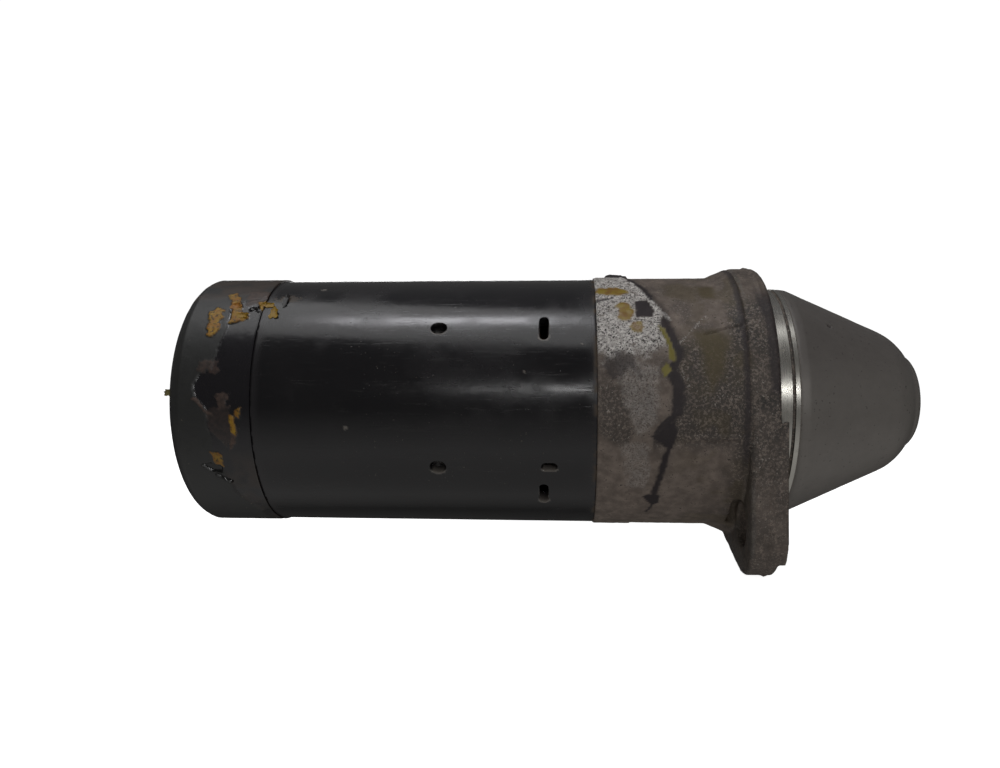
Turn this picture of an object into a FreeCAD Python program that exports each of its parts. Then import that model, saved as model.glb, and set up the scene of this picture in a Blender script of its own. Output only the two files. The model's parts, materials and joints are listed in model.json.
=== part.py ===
"""Permanent-magnet starter motor with a planetary reduction and an overrunning drive.

Millimetres. X runs along the motor axis towards the drive nose, Z is up, and the
solenoid lies on the +Y side. The origin is the centre of the pilot spigot, in the
plane of the mounting pads. Angles about the motor axis start at +Y and grow towards +Z.
"""
import FreeCAD
import Part

import math
import os

Vector = FreeCAD.Vector
ORIGIN = Vector(0, 0, 0)
ALONG_X = Vector(1, 0, 0)
ALONG_Y = Vector(0, 1, 0)
ALONG_Z = Vector(0, 0, 1)

# ---------------------------------------------------------------- driving dimensions
FIT = 0.05                   # radial clearance of a shaft in a bush, or of a registered part

YOKE_R = 40.0
YOKE_BORE_R = 36.0
YOKE_FRONT_X = -54.0
YOKE_REAR_X = -160.0
YOKE_SPIGOT_X = -156.5       # the rear end is turned down from here to take the cap
YOKE_SPIGOT_R = 38.6

CAP_R = 40.6
CAP_END_X = -184.7
CAP_CORNER_AXIAL = 6.4
CAP_CORNER_RADIAL = 7.8
CAP_WALL = 2.2

BARREL_R = 40.2
BARREL_WALL = 6.2
FLARE_START_X = -18.0
FLARE_R = 43.3
FLARE_CENTRE_Y = 3.2
RIM_GROOVE_X = -11.0         # a narrow groove parts the flare from the flange plate
RIM_GROOVE_R = 42.2
FLANGE_REAR_X = -10.4
FLANGE_FRONT_X = -1.8
FLANGE_R = 43.7
FLANGE_CENTRE_Y = 4.0
EAR_R = 14.7
EAR_HOLE_R = 6.5
EAR_CHAMFER = 0.4
EDGE_BREAK = 0.8
HEAD_ROOM_R = 8.6
HEAD_ROOM_DEPTH = 3.0
LOWER_EAR = (-24.8, -37.4)   # y, z of the hole
UPPER_EAR = (42.0, 32.0)
PAD_FOOT_Z = -47.4           # the lower pad stops short of the ear's tip

SPIGOT_R = 36.5
SPIGOT_LAND_X = 2.0
SPIGOT_GROOVE_X = 2.8
SPIGOT_END_X = 4.1
SPIGOT_GROOVE_DEPTH = 0.6
ROOT_RELIEF_X = -1.2         # an undercut frees the root of the spigot up to here
PAD_RELIEF_R = 40.0          # the pads and the pod keep this far from the spigot
NOSE_CONE_R = 36.2
NOSE_SHOULDER_X = 36.5
NOSE_SHOULDER_R = 22.9
NOSE_BOSS_X = 44.2
NOSE_BOSS_R = 15.7
NOSE_TIP_X = 47.4
NOSE_TIP_R = 12.2
NOSE_WALL = 4.0
WINDOW_ANGLE = -45.0
WINDOW_HALF_WIDTH = 19.0
WINDOW_X = (9.0, 35.5)
WINDOW_FLOOR_R = 11.0

MAGNET_COUNT = 6
MAGNET_X = (-144.0, -73.0)
MAGNET_IN_R = 30.0
MAGNET_ARC = 45.0
BOLT_CIRCLE_R = 33.0
BOLT_ANGLES = (90.0, 270.0)
BOLT_R = 2.4
BOLT_END_X = -14.0
BOLT_HEAD_R = 4.4
BOLT_HEAD_DEPTH = 4.0
BOLT_POCKET_DEPTH = 5.5

CORE_X = (-141.0, -76.0)
CORE_R = 29.4
CORE_SLOTS = 19
ARMATURE_SHAFT_R = 6.5
COMMUTATOR_X = (-167.0, -148.0)
COMMUTATOR_R = 16.0
COMMUTATOR_BARS = 19
REAR_JOURNAL_R = 5.0
REAR_JOURNAL_X = (-181.5, -172.0)
BRUSH_ANGLES = (45.0, 135.0, 225.0, 315.0)
BRUSH_X = (-164.5, -152.5)

GEAR_MODULE = 1.25
SUN_TEETH = 12
PLANET_TEETH = 15
RING_TEETH = 42
PLANET_COUNT = 3
PRESSURE_ANGLE = math.radians(25)
BACKLASH = 0.14
ADDENDUM = 0.8               # in modules
DEDENDUM = 1.05
GEAR_X = (-53.5, -38.6)
RING_REAR_X = -57.2          # the ring gear spans the seam and centres the yoke
PLANET_X = (-52.5, -39.2)
PLANET_PIN_R = 3.0

CARRIER_X = (-38.4, -33.8)
CARRIER_R = 24.0
JOURNAL_R = 9.5
BEARING_PLATE_X = (-33.3, -29.5)
BEARING_HUB_X = -26.6
SPLINE_TEETH = 8
SPLINE_TIP_R = 9.3
SPLINE_ROOT_R = 7.9
SPLINE_X = (-26.3, 5.0)
SPLINE_LEAD = 110.0
SPLINE_CLEARANCE = 0.16
FRONT_JOURNAL_R = 6.5
SHAFT_FRONT_X = 44.6

SLEEVE_R = 12.0
SLEEVE_REAR_X = -25.8
COLLAR_X = (-23.4, -12.6)
COLLAR_R = 18.0
COLLAR_GROOVE_R = 14.0
COLLAR_GROOVE_HALF = 3.6
CLUTCH_X = (-12.0, 4.0)
CLUTCH_R = 23.0
RACE_R = 12.6
ROLLER_COUNT = 6
ROLLER_R = 3.0
ROLLER_CIRCLE_R = 15.75
PINION_TEETH = 10
PINION_MODULE = 2.54
PINION_X = (5.8, 19.6)
PINION_BORE_R = 8.4

LEVER_PIVOT = (-11.0, 42.0)  # x, y
LEVER_REST_TILT = -9.55      # degrees, with the drive drawn back
LEVER_HEAD_REACH = 25.5
LEVER_THICKNESS = 4.0
LEVER_PAD_R = 3.2
PIVOT_PIN_R = 3.0
PIVOT_PIN_HALF = 17.6

SOLENOID_Y = 67.5
SOLENOID_R = 26.0
SOLENOID_X = (-74.0, -24.6)
SOLENOID_WALL = 2.6
PLUNGER_R = 9.4
PLUNGER_X = (-56.0, -20.0)
POD_FRONT_X = -0.2
STUD_OFFSET = 11.0
STUD_R = 4.0
STUD_NECK_R = 3.5
STUD_THREAD_X = -111.0
STUD_END_X = -124.0
PLUNGER_BORE_DEPTH = 12.0

LEAD_R = 3.0
LEAD_BEND_R = 9.0
LEAD_END_R = 34.2
LEAD_CRIMP = (58.5, -11.0)   # y, z of the crimp
LEAD_ENTRY_X = -149.0


# ---------------------------------------------------------------- shape helpers
def rod(x0, x1, radius, y=0.0, z=0.0):
    """A cylinder along X."""
    return Part.makeCylinder(radius, x1 - x0, Vector(x0, y, z), ALONG_X)


def tube(x0, x1, outer, inner, y=0.0, z=0.0):
    """A hollow cylinder along X."""
    return rod(x0, x1, outer, y, z).cut(rod(x0, x1, inner, y, z))


def block(x, y, z):
    """A box from its three (low, high) pairs."""
    return Part.makeBox(x[1] - x[0], y[1] - y[0], z[1] - z[0], Vector(x[0], y[0], z[0]))


def turned(points):
    """Revolve a closed outline of (x, radius) points about the motor axis."""
    corners = [Vector(x, r, 0) for x, r in points]
    outline = Part.makePolygon(corners + corners[:1])
    return Part.Face(outline).revolve(ORIGIN, ALONG_X, 360)


def turned_edges(edges):
    """Revolve a closed outline made of edges in the XY plane about the motor axis."""
    return Part.Face(Part.Wire(edges)).revolve(ORIGIN, ALONG_X, 360)


def line(a, b):
    return Part.makeLine(Vector(a[0], a[1], 0), Vector(b[0], b[1], 0))


def turn(shape, degrees, centre=ORIGIN, axis=ALONG_X):
    """A copy turned about an axis."""
    copy = shape.copy()
    copy.rotate(centre, axis, degrees)
    return copy


def around(shape, count, start=0.0):
    """Copies spaced evenly about the motor axis."""
    return [turn(shape, start + 360.0 * i / count) for i in range(count)]


def joined(shapes):
    """One solid from shapes that overlap or share faces."""
    return shapes[0].multiFuse(shapes[1:]).removeSplitter()


def group(shapes):
    """Separate solids that share a node."""
    return Part.makeCompound(shapes)


def at_angle(radius, degrees):
    """The (y, z) of a point at a radius and an angle about the motor axis."""
    angle = math.radians(degrees)
    return radius * math.cos(angle), radius * math.sin(angle)


def sector(x0, x1, inner, outer, middle, width):
    """A ring segment about the motor axis."""
    half = math.radians(width / 2)
    corners = [Vector(x0, r * math.cos(a), r * math.sin(a)) for r in (inner, outer) for a in (-half, 0, half)]
    edges = [
        Part.Arc(corners[0], corners[1], corners[2]).toShape(),
        Part.makeLine(corners[2], corners[5]),
        Part.Arc(corners[5], corners[4], corners[3]).toShape(),
        Part.makeLine(corners[3], corners[0]),
    ]
    return turn(Part.Face(Part.Wire(edges)).extrude(Vector(x1 - x0, 0, 0)), middle)


def plate(x0, x1, points):
    """A prism along X over a closed outline of (y, z) points."""
    corners = [Vector(x0, y, z) for y, z in points]
    return Part.Face(Part.makePolygon(corners + corners[:1])).extrude(Vector(x1 - x0, 0, 0))


def tangent_web(x0, x1, centre_a, radius_a, centre_b, radius_b):
    """The prism between the outer tangents of two circles in the YZ plane, with both discs."""
    dy = centre_b[0] - centre_a[0]
    dz = centre_b[1] - centre_a[1]
    heading = math.atan2(dz, dy)
    spread = math.acos((radius_a - radius_b) / math.hypot(dy, dz))
    points = []
    for (y, z), radius, sides in ((centre_a, radius_a, (1, -1)), (centre_b, radius_b, (-1, 1))):
        for side in sides:
            angle = heading + side * spread
            points.append((y + radius * math.cos(angle), z + radius * math.sin(angle)))
    discs = [rod(x0, x1, radius_a, *centre_a), rod(x0, x1, radius_b, *centre_b)]
    return joined([plate(x0, x1, points)] + discs)


def gear_outline(x, teeth, module, tip_r, root_r, thickness, first_angle=0.0, steps=4):
    """A closed outline of involute teeth in the plane at x, with a tooth at first_angle."""
    pitch_r = teeth * module / 2
    base_r = pitch_r * math.cos(PRESSURE_ANGLE)
    involute = math.tan(PRESSURE_ANGLE) - PRESSURE_ANGLE
    flank = []
    for i in range(steps + 1):
        radius = root_r + (tip_r - root_r) * i / steps
        roll = math.acos(min(1.0, base_r / radius))
        flank.append((radius, thickness / (2 * pitch_r) + involute - (math.tan(roll) - roll)))
    points = []
    for tooth in range(teeth):
        middle = math.radians(first_angle) + 2 * math.pi * tooth / teeth
        points += [(r, middle - half) for r, half in flank]
        points += [(r, middle + half) for r, half in reversed(flank)]
    corners = [Vector(x, r * math.cos(a), r * math.sin(a)) for r, a in points]
    return Part.makePolygon(corners + corners[:1])


def spur_gear(x0, x1, teeth, module, first_angle=0.0, addendum=ADDENDUM, dedendum=DEDENDUM):
    """An external spur gear blank, solid to its axis."""
    pitch_r = teeth * module / 2
    thickness = math.pi * module / 2 - BACKLASH / 2
    outline = gear_outline(x0, teeth, module, pitch_r + addendum * module,
                           pitch_r - dedendum * module, thickness, first_angle)
    return Part.Face(outline).extrude(Vector(x1 - x0, 0, 0))


def on_circle(x, radius, angle):
    """The point at a radius and an angle in radians about the motor axis."""
    return Vector(x, radius * math.cos(angle), radius * math.sin(angle))


def spline_bar(x0, x1, tip_r, root_r, tooth_share):
    """A bar with helical splines, every section turned by the same lead from x = 0."""
    step = 2 * math.pi / SPLINE_TEETH
    half = step * tooth_share / 2
    edges = []
    for tooth in range(SPLINE_TEETH):
        middle = tooth * step + 2 * math.pi * x0 / SPLINE_LEAD
        foot = on_circle(x0, root_r, middle - half)
        rise = on_circle(x0, tip_r, middle - half)
        crest = on_circle(x0, tip_r, middle)
        fall = on_circle(x0, tip_r, middle + half)
        heel = on_circle(x0, root_r, middle + half)
        valley = on_circle(x0, root_r, middle + step / 2)
        next_foot = on_circle(x0, root_r, middle + step - half)
        edges.append(Part.makeLine(foot, rise))
        edges.append(Part.Arc(rise, crest, fall).toShape())
        edges.append(Part.makeLine(fall, heel))
        edges.append(Part.Arc(heel, valley, next_foot).toShape())
    guide = Part.makeHelix(SPLINE_LEAD, x1 - x0, root_r)
    guide.rotate(ORIGIN, ALONG_Y, 90)
    guide.translate(Vector(x0, 0, 0))
    sweep = Part.BRepOffsetAPI.MakePipeShell(Part.Wire([Part.makeLine(Vector(x0, 0, 0), Vector(x1, 0, 0))]))
    sweep.setAuxiliarySpine(Part.Wire(guide.Edges), True, 0)
    sweep.add(Part.Wire(edges))
    sweep.build()
    sweep.makeSolid()
    return sweep.shape()


def coil_spring(x0, x1, radius, wire_r, turns, y=0.0, z=0.0):
    """A round-wire compression spring along X, between its end planes."""
    length = x1 - x0 - 2 * wire_r
    helix = Part.makeHelix(length / turns, length, radius)
    section = Part.Wire([Part.makeCircle(wire_r, Vector(radius, 0, 0), ALONG_Y)])
    coil = Part.Wire(helix.Edges).makePipeShell([section], True, True)
    coil.rotate(ORIGIN, ALONG_Y, 90)
    coil.translate(Vector(x0 + wire_r, y, z))
    return coil


def rounded_path(points, radius):
    """A wire of straight runs joined by tangent arcs of one radius."""
    edges = []
    start = points[0]
    for before, corner, after in zip(points, points[1:], points[2:]):
        back = (before - corner).normalize()
        ahead = (after - corner).normalize()
        half_turn = (math.pi - back.getAngle(ahead)) / 2
        reach = radius * math.tan(half_turn)
        enter = corner + back * reach
        leave = corner + ahead * reach
        inward = (back + ahead).normalize()
        middle = corner + inward * (radius / math.cos(half_turn) - radius)
        edges.append(Part.makeLine(start, enter))
        edges.append(Part.Arc(enter, middle, leave).toShape())
        start = leave
    edges.append(Part.makeLine(start, points[-1]))
    return Part.Wire(edges)


def hexagon(x0, x1, across_flats, y=0.0, z=0.0):
    """A hexagonal prism along X."""
    radius = across_flats / math.sqrt(3)
    return plate(x0, x1, [(y + radius * math.cos(math.radians(60 * i)),
                           z + radius * math.sin(math.radians(60 * i))) for i in range(6)])


# ---------------------------------------------------------------- motor casing
def make_yoke():
    """The steel tube that carries the magnets, with its slots and its turned rear end."""
    body = turned([
        (YOKE_REAR_X, YOKE_BORE_R), (YOKE_REAR_X, YOKE_SPIGOT_R), (YOKE_SPIGOT_X, YOKE_SPIGOT_R),
        (YOKE_SPIGOT_X, YOKE_R), (YOKE_FRONT_X, YOKE_R), (YOKE_FRONT_X, YOKE_BORE_R),
    ])
    cuts = []
    for angle in (147.5, 210.0, 327.5, 30.0):
        cuts.append(radial_slot(-101.0, angle, 5.2, 4.5))
    for angle in (209.5, 330.0):
        cuts.append(radial_slot(-67.9, angle, 5.0, 2.6))
    for angle in (147.5, 225.0, 32.5, 315.0):
        cuts.append(radial_slot(-69.6, angle, 3.3, 7.8))
    cuts.append(radial_hole(LEAD_ENTRY_X, 0.0, 5.0))
    return body.cut(group(cuts))


def radial_hole(x, angle, radius):
    """A drill through the yoke wall at an angle about the motor axis."""
    drill = Part.makeCylinder(radius, 8.0, Vector(x, YOKE_BORE_R - 2.0, 0), ALONG_Y)
    return turn(drill, angle)


def radial_slot(x, angle, length, width):
    """A round-ended slot through the yoke wall, longer along X or about the axis."""
    radius = min(length, width) / 2
    run = abs(length - width) / 2
    low = YOKE_BORE_R - 2.0
    depth = 8.0
    offset = Vector(run, 0, 0) if length > width else Vector(0, 0, run)
    centre = Vector(x, low, 0)
    ends = [Part.makeCylinder(radius, depth, centre + offset * side, ALONG_Y) for side in (-1, 1)]
    size = (length - 2 * radius, 2 * radius) if length > width else (2 * radius, width - 2 * radius)
    bridge = Part.makeBox(max(size[0], 0.01), depth, max(size[1], 0.01),
                          centre - Vector(size[0] / 2, 0, size[1] / 2))
    return turn(joined(ends + [bridge]), angle)


def make_rear_cap():
    """The deep-drawn end cover with its bush hub and the two screw pockets."""
    corner_x = CAP_END_X + CAP_CORNER_AXIAL
    face_r = CAP_R - CAP_CORNER_RADIAL
    face_x = CAP_END_X + 0.6
    inner_x = CAP_END_X + CAP_WALL
    bore_r = YOKE_SPIGOT_R + FIT
    dome = Part.Arc(Vector(CAP_END_X, 0.0, 0), Vector(CAP_END_X + 0.15, face_r / 2, 0),
                    Vector(face_x, face_r, 0)).toShape()
    corner = Part.Arc(Vector(face_x, face_r, 0), Vector(face_x + 1.5, CAP_R - 2.4, 0),
                      Vector(corner_x, CAP_R, 0)).toShape()
    cap = turned_edges([
        dome, corner,
        line((corner_x, CAP_R), (YOKE_SPIGOT_X, CAP_R)),
        line((YOKE_SPIGOT_X, CAP_R), (YOKE_SPIGOT_X, bore_r)),
        line((YOKE_SPIGOT_X, bore_r), (YOKE_REAR_X, bore_r)),
        line((YOKE_REAR_X, bore_r), (YOKE_REAR_X, CAP_R - CAP_WALL - 0.4)),
        line((YOKE_REAR_X, CAP_R - CAP_WALL - 0.4), (corner_x + 1.0, CAP_R - CAP_WALL - 0.4)),
        line((corner_x + 1.0, CAP_R - CAP_WALL - 0.4), (inner_x, face_r - 1.0)),
        line((inner_x, face_r - 1.0), (inner_x, 0.0)),
        line((inner_x, 0.0), (CAP_END_X, 0.0)),
    ])
    hub = tube(inner_x - 0.5, -172.5, 11.0, 8.0)
    pockets = []
    posts = []
    for angle in BOLT_ANGLES:
        y, z = at_angle(BOLT_CIRCLE_R, angle)
        posts.append(rod(CAP_END_X + 1.2, CAP_END_X + BOLT_POCKET_DEPTH + 2.0, BOLT_HEAD_R + 1.6, y, z))
        pockets.append(rod(CAP_END_X - 1.0, CAP_END_X + BOLT_POCKET_DEPTH, BOLT_HEAD_R + 0.6, y, z))
        pockets.append(rod(CAP_END_X, CAP_END_X + 12.0, BOLT_R + 0.3, y, z))
    for angle in (0.0, 180.0):
        y, z = at_angle(24.0, angle)
        pockets.append(rod(CAP_END_X - 1.0, CAP_END_X + 1.4, 3.5, y, z))
        pockets.append(rod(CAP_END_X, CAP_END_X + 12.0, 1.9, y, z))
    envelope = rod(CAP_END_X, YOKE_SPIGOT_X, CAP_R)
    posts = [post.common(envelope) for post in posts]
    return joined([cap, hub] + posts).cut(group(pockets))


def make_rear_bush():
    return tube(REAR_JOURNAL_X[0] - 0.7, -172.7, 8.0, REAR_JOURNAL_R + FIT)


def make_magnet(number):
    angle = 360.0 * number / MAGNET_COUNT
    return sector(MAGNET_X[0], MAGNET_X[1], MAGNET_IN_R, YOKE_BORE_R, angle, MAGNET_ARC)


def make_magnet_clips():
    """Spring-steel channels that wedge the magnets apart."""
    clips = []
    for number in range(MAGNET_COUNT):
        angle = 30.0 + 60.0 * number
        if angle in BOLT_ANGLES:
            continue
        clip = sector(MAGNET_X[0] + 2, MAGNET_X[1] - 2, YOKE_BORE_R - 0.8, YOKE_BORE_R, angle, 11.0)
        for side in (-1, 1):
            rib = sector(MAGNET_X[0] + 2, MAGNET_X[1] - 2, YOKE_BORE_R - 3.5, YOKE_BORE_R - 0.8,
                         angle + side * 4.75, 1.5)
            clip = clip.fuse(rib)
        clips.append(clip.removeSplitter())
    return group(clips)


def make_through_bolts():
    bolts = []
    for angle in BOLT_ANGLES:
        y, z = at_angle(BOLT_CIRCLE_R, angle)
        seat_x = CAP_END_X + BOLT_POCKET_DEPTH
        head = hexagon(seat_x - BOLT_HEAD_DEPTH, seat_x, 7.6, y, z)
        bolts.append(joined([head, rod(seat_x, BOLT_END_X, BOLT_R, y, z)]))
    return group(bolts)


# ---------------------------------------------------------------- armature and brushes
def make_armature_shaft():
    """The shaft with its rear journal, the sun teeth and the front pilot."""
    sun_rear_x = GEAR_X[0]
    blank = joined([
        rod(REAR_JOURNAL_X[0], -171.0, REAR_JOURNAL_R),
        rod(-171.0, -60.0, ARMATURE_SHAFT_R),
        rod(-60.0, sun_rear_x, 6.0),
        spur_gear(sun_rear_x, GEAR_X[1], SUN_TEETH, GEAR_MODULE),
        rod(GEAR_X[1], -30.5, 4.0),
    ])
    return blank


def make_armature_core():
    """The slotted lamination stack."""
    stack = tube(CORE_X[0], CORE_X[1], CORE_R, ARMATURE_SHAFT_R)
    slot = block((CORE_X[0] - 1, CORE_X[1] + 1), (17.5, 26.6), (-1.7, 1.7))
    mouth = block((CORE_X[0] - 1, CORE_X[1] + 1), (26.0, CORE_R + 1), (-0.8, 0.8))
    return stack.cut(group(around(joined([slot, mouth]), CORE_SLOTS)))


def make_armature_winding():
    """Copper bars in the slots with the end turns at both ends."""
    bar = block((CORE_X[0] - 1.0, CORE_X[1] + 1.0), (17.8, 26.3), (-1.5, 1.5))
    rear = tube(CORE_X[0] - 6.0, CORE_X[0] - 0.6, 26.3, 13.0)
    front = tube(CORE_X[1] + 0.6, CORE_X[1] + 7.0, 26.3, 14.0)
    return joined([rear, front] + around(bar, CORE_SLOTS))


def make_commutator_bars():
    step = 360.0 / COMMUTATOR_BARS
    bars = []
    for number in range(COMMUTATOR_BARS):
        body = sector(COMMUTATOR_X[0], COMMUTATOR_X[1], 11.0, COMMUTATOR_R, number * step, step - 2.4)
        riser = sector(COMMUTATOR_X[1] - 3.0, COMMUTATOR_X[1], COMMUTATOR_R, 18.6, number * step, step - 7.0)
        bars.append(joined([body, riser]))
    return group(bars)


def make_commutator_hub():
    """Moulded insulation between the bars and the shaft."""
    return tube(COMMUTATOR_X[0] - 1.0, COMMUTATOR_X[1] + 0.4, 11.0, ARMATURE_SHAFT_R)


def make_brush_plate():
    """The ring that carries the brush holders, on two posts, notched for the through bolts."""
    ring = tube(-170.5, -168.9, 37.2, 19.5)
    posts = []
    notches = []
    for angle in BOLT_ANGLES:
        y, z = at_angle(BOLT_CIRCLE_R, angle)
        notches.append(rod(-172.0, -168.0, 3.2, y, z))
        notches.append(turn(block((-172.0, -168.0), (BOLT_CIRCLE_R, 40.0), (-3.2, 3.2)), angle))
    for angle in (0.0, 180.0):
        y, z = at_angle(24.0, angle)
        posts.append(rod(CAP_END_X + CAP_WALL, -170.0, 3.0, y, z))
        notches.append(rod(CAP_END_X, -168.0, 1.55, y, z))
    return joined([ring] + posts).cut(group(notches))


def make_plate_screws():
    """The two screws that pull the brush plate to the rear cap."""
    screws = []
    for angle in (0.0, 180.0):
        y, z = at_angle(24.0, angle)
        head = rod(CAP_END_X + 0.4, CAP_END_X + 1.4, 3.1, y, z)
        screws.append(joined([head, rod(CAP_END_X + 1.4, -168.0, 1.5, y, z)]))
    return group(screws)


def make_brush_holder(angle):
    """A brass box open towards the commutator, standing on the brush plate."""
    outer = block((-168.9, -151.0), (18.4, 34.4), (-5.6, 5.6))
    inner = block((-167.9, -151.8), (18.0, 33.4), (-4.7, 4.7))
    return turn(outer.cut(inner), angle)


def make_brush(angle):
    """A carbon block with its face ground to the commutator."""
    body = block(BRUSH_X, (14.0, 26.0), (-4.4, 4.4))
    return turn(body.cut(rod(-170.0, -148.0, COMMUTATOR_R + 0.12)), angle)


def make_brush_spring(angle):
    """The compression spring between a brush and the closed end of its holder."""
    spring = coil_spring(26.05, 33.35, 2.6, 0.45, 4)
    spring.rotate(ORIGIN, ALONG_Z, 90)
    spring.translate(Vector(sum(BRUSH_X) / 2, 0, 0))
    return turn(spring, angle)


def make_positive_bus():
    """The copper strip that joins the motor lead to the insulated brushes."""
    strip = sector(-150.4, -147.6, LEAD_END_R - 1.6, LEAD_END_R, 0.0, 92.0)
    tabs = [sector(-151.0, -148.6, 30.0, LEAD_END_R - 1.6, angle, 5.0) for angle in (-43.0, 43.0)]
    return joined([strip] + tabs)


def make_motor_lead():
    """The insulated braid from the solenoid's motor stud through the yoke wall."""
    crimp_y, crimp_z = LEAD_CRIMP
    points = [
        Vector(LEAD_ENTRY_X, LEAD_END_R, 0),
        Vector(LEAD_ENTRY_X, 51.0, 0),
        Vector(-136.0, crimp_y, crimp_z),
        Vector(-115.0, crimp_y, crimp_z),
    ]
    path = rounded_path(points, LEAD_BEND_R)
    section = Part.Wire([Part.makeCircle(LEAD_R, points[0], ALONG_Y)])
    return path.makePipeShell([section], True, False)


def make_lead_terminal():
    """The ring terminal crimped on the lead, under the motor stud's nut."""
    y, z = LEAD_CRIMP
    eye = tube(-105.4, -104.0, 7.0, STUD_NECK_R + 0.3, SOLENOID_Y, -STUD_OFFSET)
    crimp = tube(-120.0, -114.6, LEAD_R + 1.0, LEAD_R + 0.02, y, z)
    strap = block((-115.0, -104.0), (y - LEAD_R - 1.0, y - LEAD_R + 0.4), (z - 3.0, z + 3.0))
    cheek = block((-105.4, -104.0), (y - LEAD_R - 1.0, y + 2.0), (z - 3.0, z + 3.0))
    return joined([eye, crimp, strap, cheek])


def make_lead_grommet():
    """The rubber grommet that seals the lead in the yoke wall."""
    shape = joined([
        Part.makeCylinder(4.95, 4.6, Vector(LEAD_ENTRY_X, 35.6, 0), ALONG_Y),
        Part.makeCylinder(7.0, 2.4, Vector(LEAD_ENTRY_X, 40.1, 0), ALONG_Y),
    ])
    return shape.cut(Part.makeCylinder(LEAD_R + 0.05, 12.0, Vector(LEAD_ENTRY_X, 33.0, 0), ALONG_Y))


# ---------------------------------------------------------------- reduction gear
def planet_angle(number):
    return 360.0 * number / PLANET_COUNT


def planet_centre(number):
    radius = (SUN_TEETH + PLANET_TEETH) * GEAR_MODULE / 2
    return at_angle(radius, planet_angle(number))


def make_planet(number):
    """A planet with a tooth pointing outwards, so that a space faces the sun."""
    gear = spur_gear(PLANET_X[0], PLANET_X[1], PLANET_TEETH, GEAR_MODULE, planet_angle(number))
    gear = gear.cut(rod(PLANET_X[0] - 1, PLANET_X[1] + 1, PLANET_PIN_R + FIT))
    y, z = planet_centre(number)
    gear.translate(Vector(0, y, z))
    return gear


def make_planet_pins():
    return group([rod(GEAR_X[0] + 0.4, CARRIER_X[1], PLANET_PIN_R, *planet_centre(n))
                  for n in range(PLANET_COUNT)])


def make_ring_gear():
    """The fixed internal gear, notched for the through bolts."""
    pitch_r = RING_TEETH * GEAR_MODULE / 2
    root_r = pitch_r + DEDENDUM * GEAR_MODULE
    tip_r = pitch_r - ADDENDUM * GEAR_MODULE
    space = math.pi * GEAR_MODULE / 2 + BACKLASH / 2
    outline = gear_outline(RING_REAR_X - 1, RING_TEETH, GEAR_MODULE, root_r, tip_r, space)
    bore = Part.Face(outline).extrude(Vector(GEAR_X[1] - RING_REAR_X + 2, 0, 0))
    front_x = BEARING_PLATE_X[0]
    body = rod(RING_REAR_X, front_x, YOKE_BORE_R - FIT)
    body = body.cut(rod(GEAR_X[1] - 0.2, front_x + 1, root_r + 0.4))
    return body.cut(group([bore] + bolt_notches(RING_REAR_X - 1, front_x + 1)))


def bolt_notches(x0, x1):
    """Open notches that let the through bolts pass a disc."""
    notches = []
    for angle in BOLT_ANGLES:
        y, z = at_angle(BOLT_CIRCLE_R, angle)
        slot = block((x0, x1), (BOLT_CIRCLE_R, YOKE_R), (-BOLT_R - 0.5, BOLT_R + 0.5))
        notches.append(joined([rod(x0, x1, BOLT_R + 0.5, y, z), turn(slot, angle)]))
    return notches


def make_gear_cover():
    """The thin plate that keeps the gear grease out of the motor."""
    rear_x = RING_REAR_X - 1.2
    disc = tube(rear_x, RING_REAR_X, YOKE_BORE_R - FIT, 9.2)
    return disc.cut(group(bolt_notches(rear_x - 1, RING_REAR_X + 1)))


def make_output_shaft():
    """The planet carrier and the splined drive shaft in one forging."""
    spline = spline_bar(SPLINE_X[0], SPLINE_X[1], SPLINE_TIP_R, SPLINE_ROOT_R, 0.44)
    body = joined([
        rod(CARRIER_X[0], CARRIER_X[1], CARRIER_R),
        rod(CARRIER_X[1], SPLINE_X[0], JOURNAL_R),
        spline,
        rod(SPLINE_X[1], SHAFT_FRONT_X, FRONT_JOURNAL_R),
    ])
    holes = [rod(CARRIER_X[0] - 1, CARRIER_X[1] + 1, PLANET_PIN_R, *planet_centre(n))
             for n in range(PLANET_COUNT)]
    holes.append(rod(CARRIER_X[0] - 1, -28.0, 5.6))
    return body.cut(group(holes + [tube(34.2, 35.6, 8.0, 5.9)]))


def make_pilot_bush():
    """The bush in the drive shaft that centres the armature's front end."""
    return tube(CARRIER_X[0] + 0.4, -28.4, 5.6, 4.0 + FIT)


def make_bearing_plate():
    """The intermediate support of the drive shaft."""
    body = turned([
        (BEARING_PLATE_X[0], 12.0), (BEARING_PLATE_X[0], YOKE_BORE_R - FIT),
        (BEARING_PLATE_X[1], YOKE_BORE_R - FIT), (BEARING_PLATE_X[1], 15.0),
        (BEARING_HUB_X, 14.4), (BEARING_HUB_X, 12.0),
    ])
    return body.cut(group(bolt_notches(BEARING_PLATE_X[0] - 1, BEARING_PLATE_X[1] + 1)))


def make_bearing_bush():
    return tube(BEARING_PLATE_X[0], BEARING_HUB_X, 12.0, JOURNAL_R + FIT)


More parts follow.
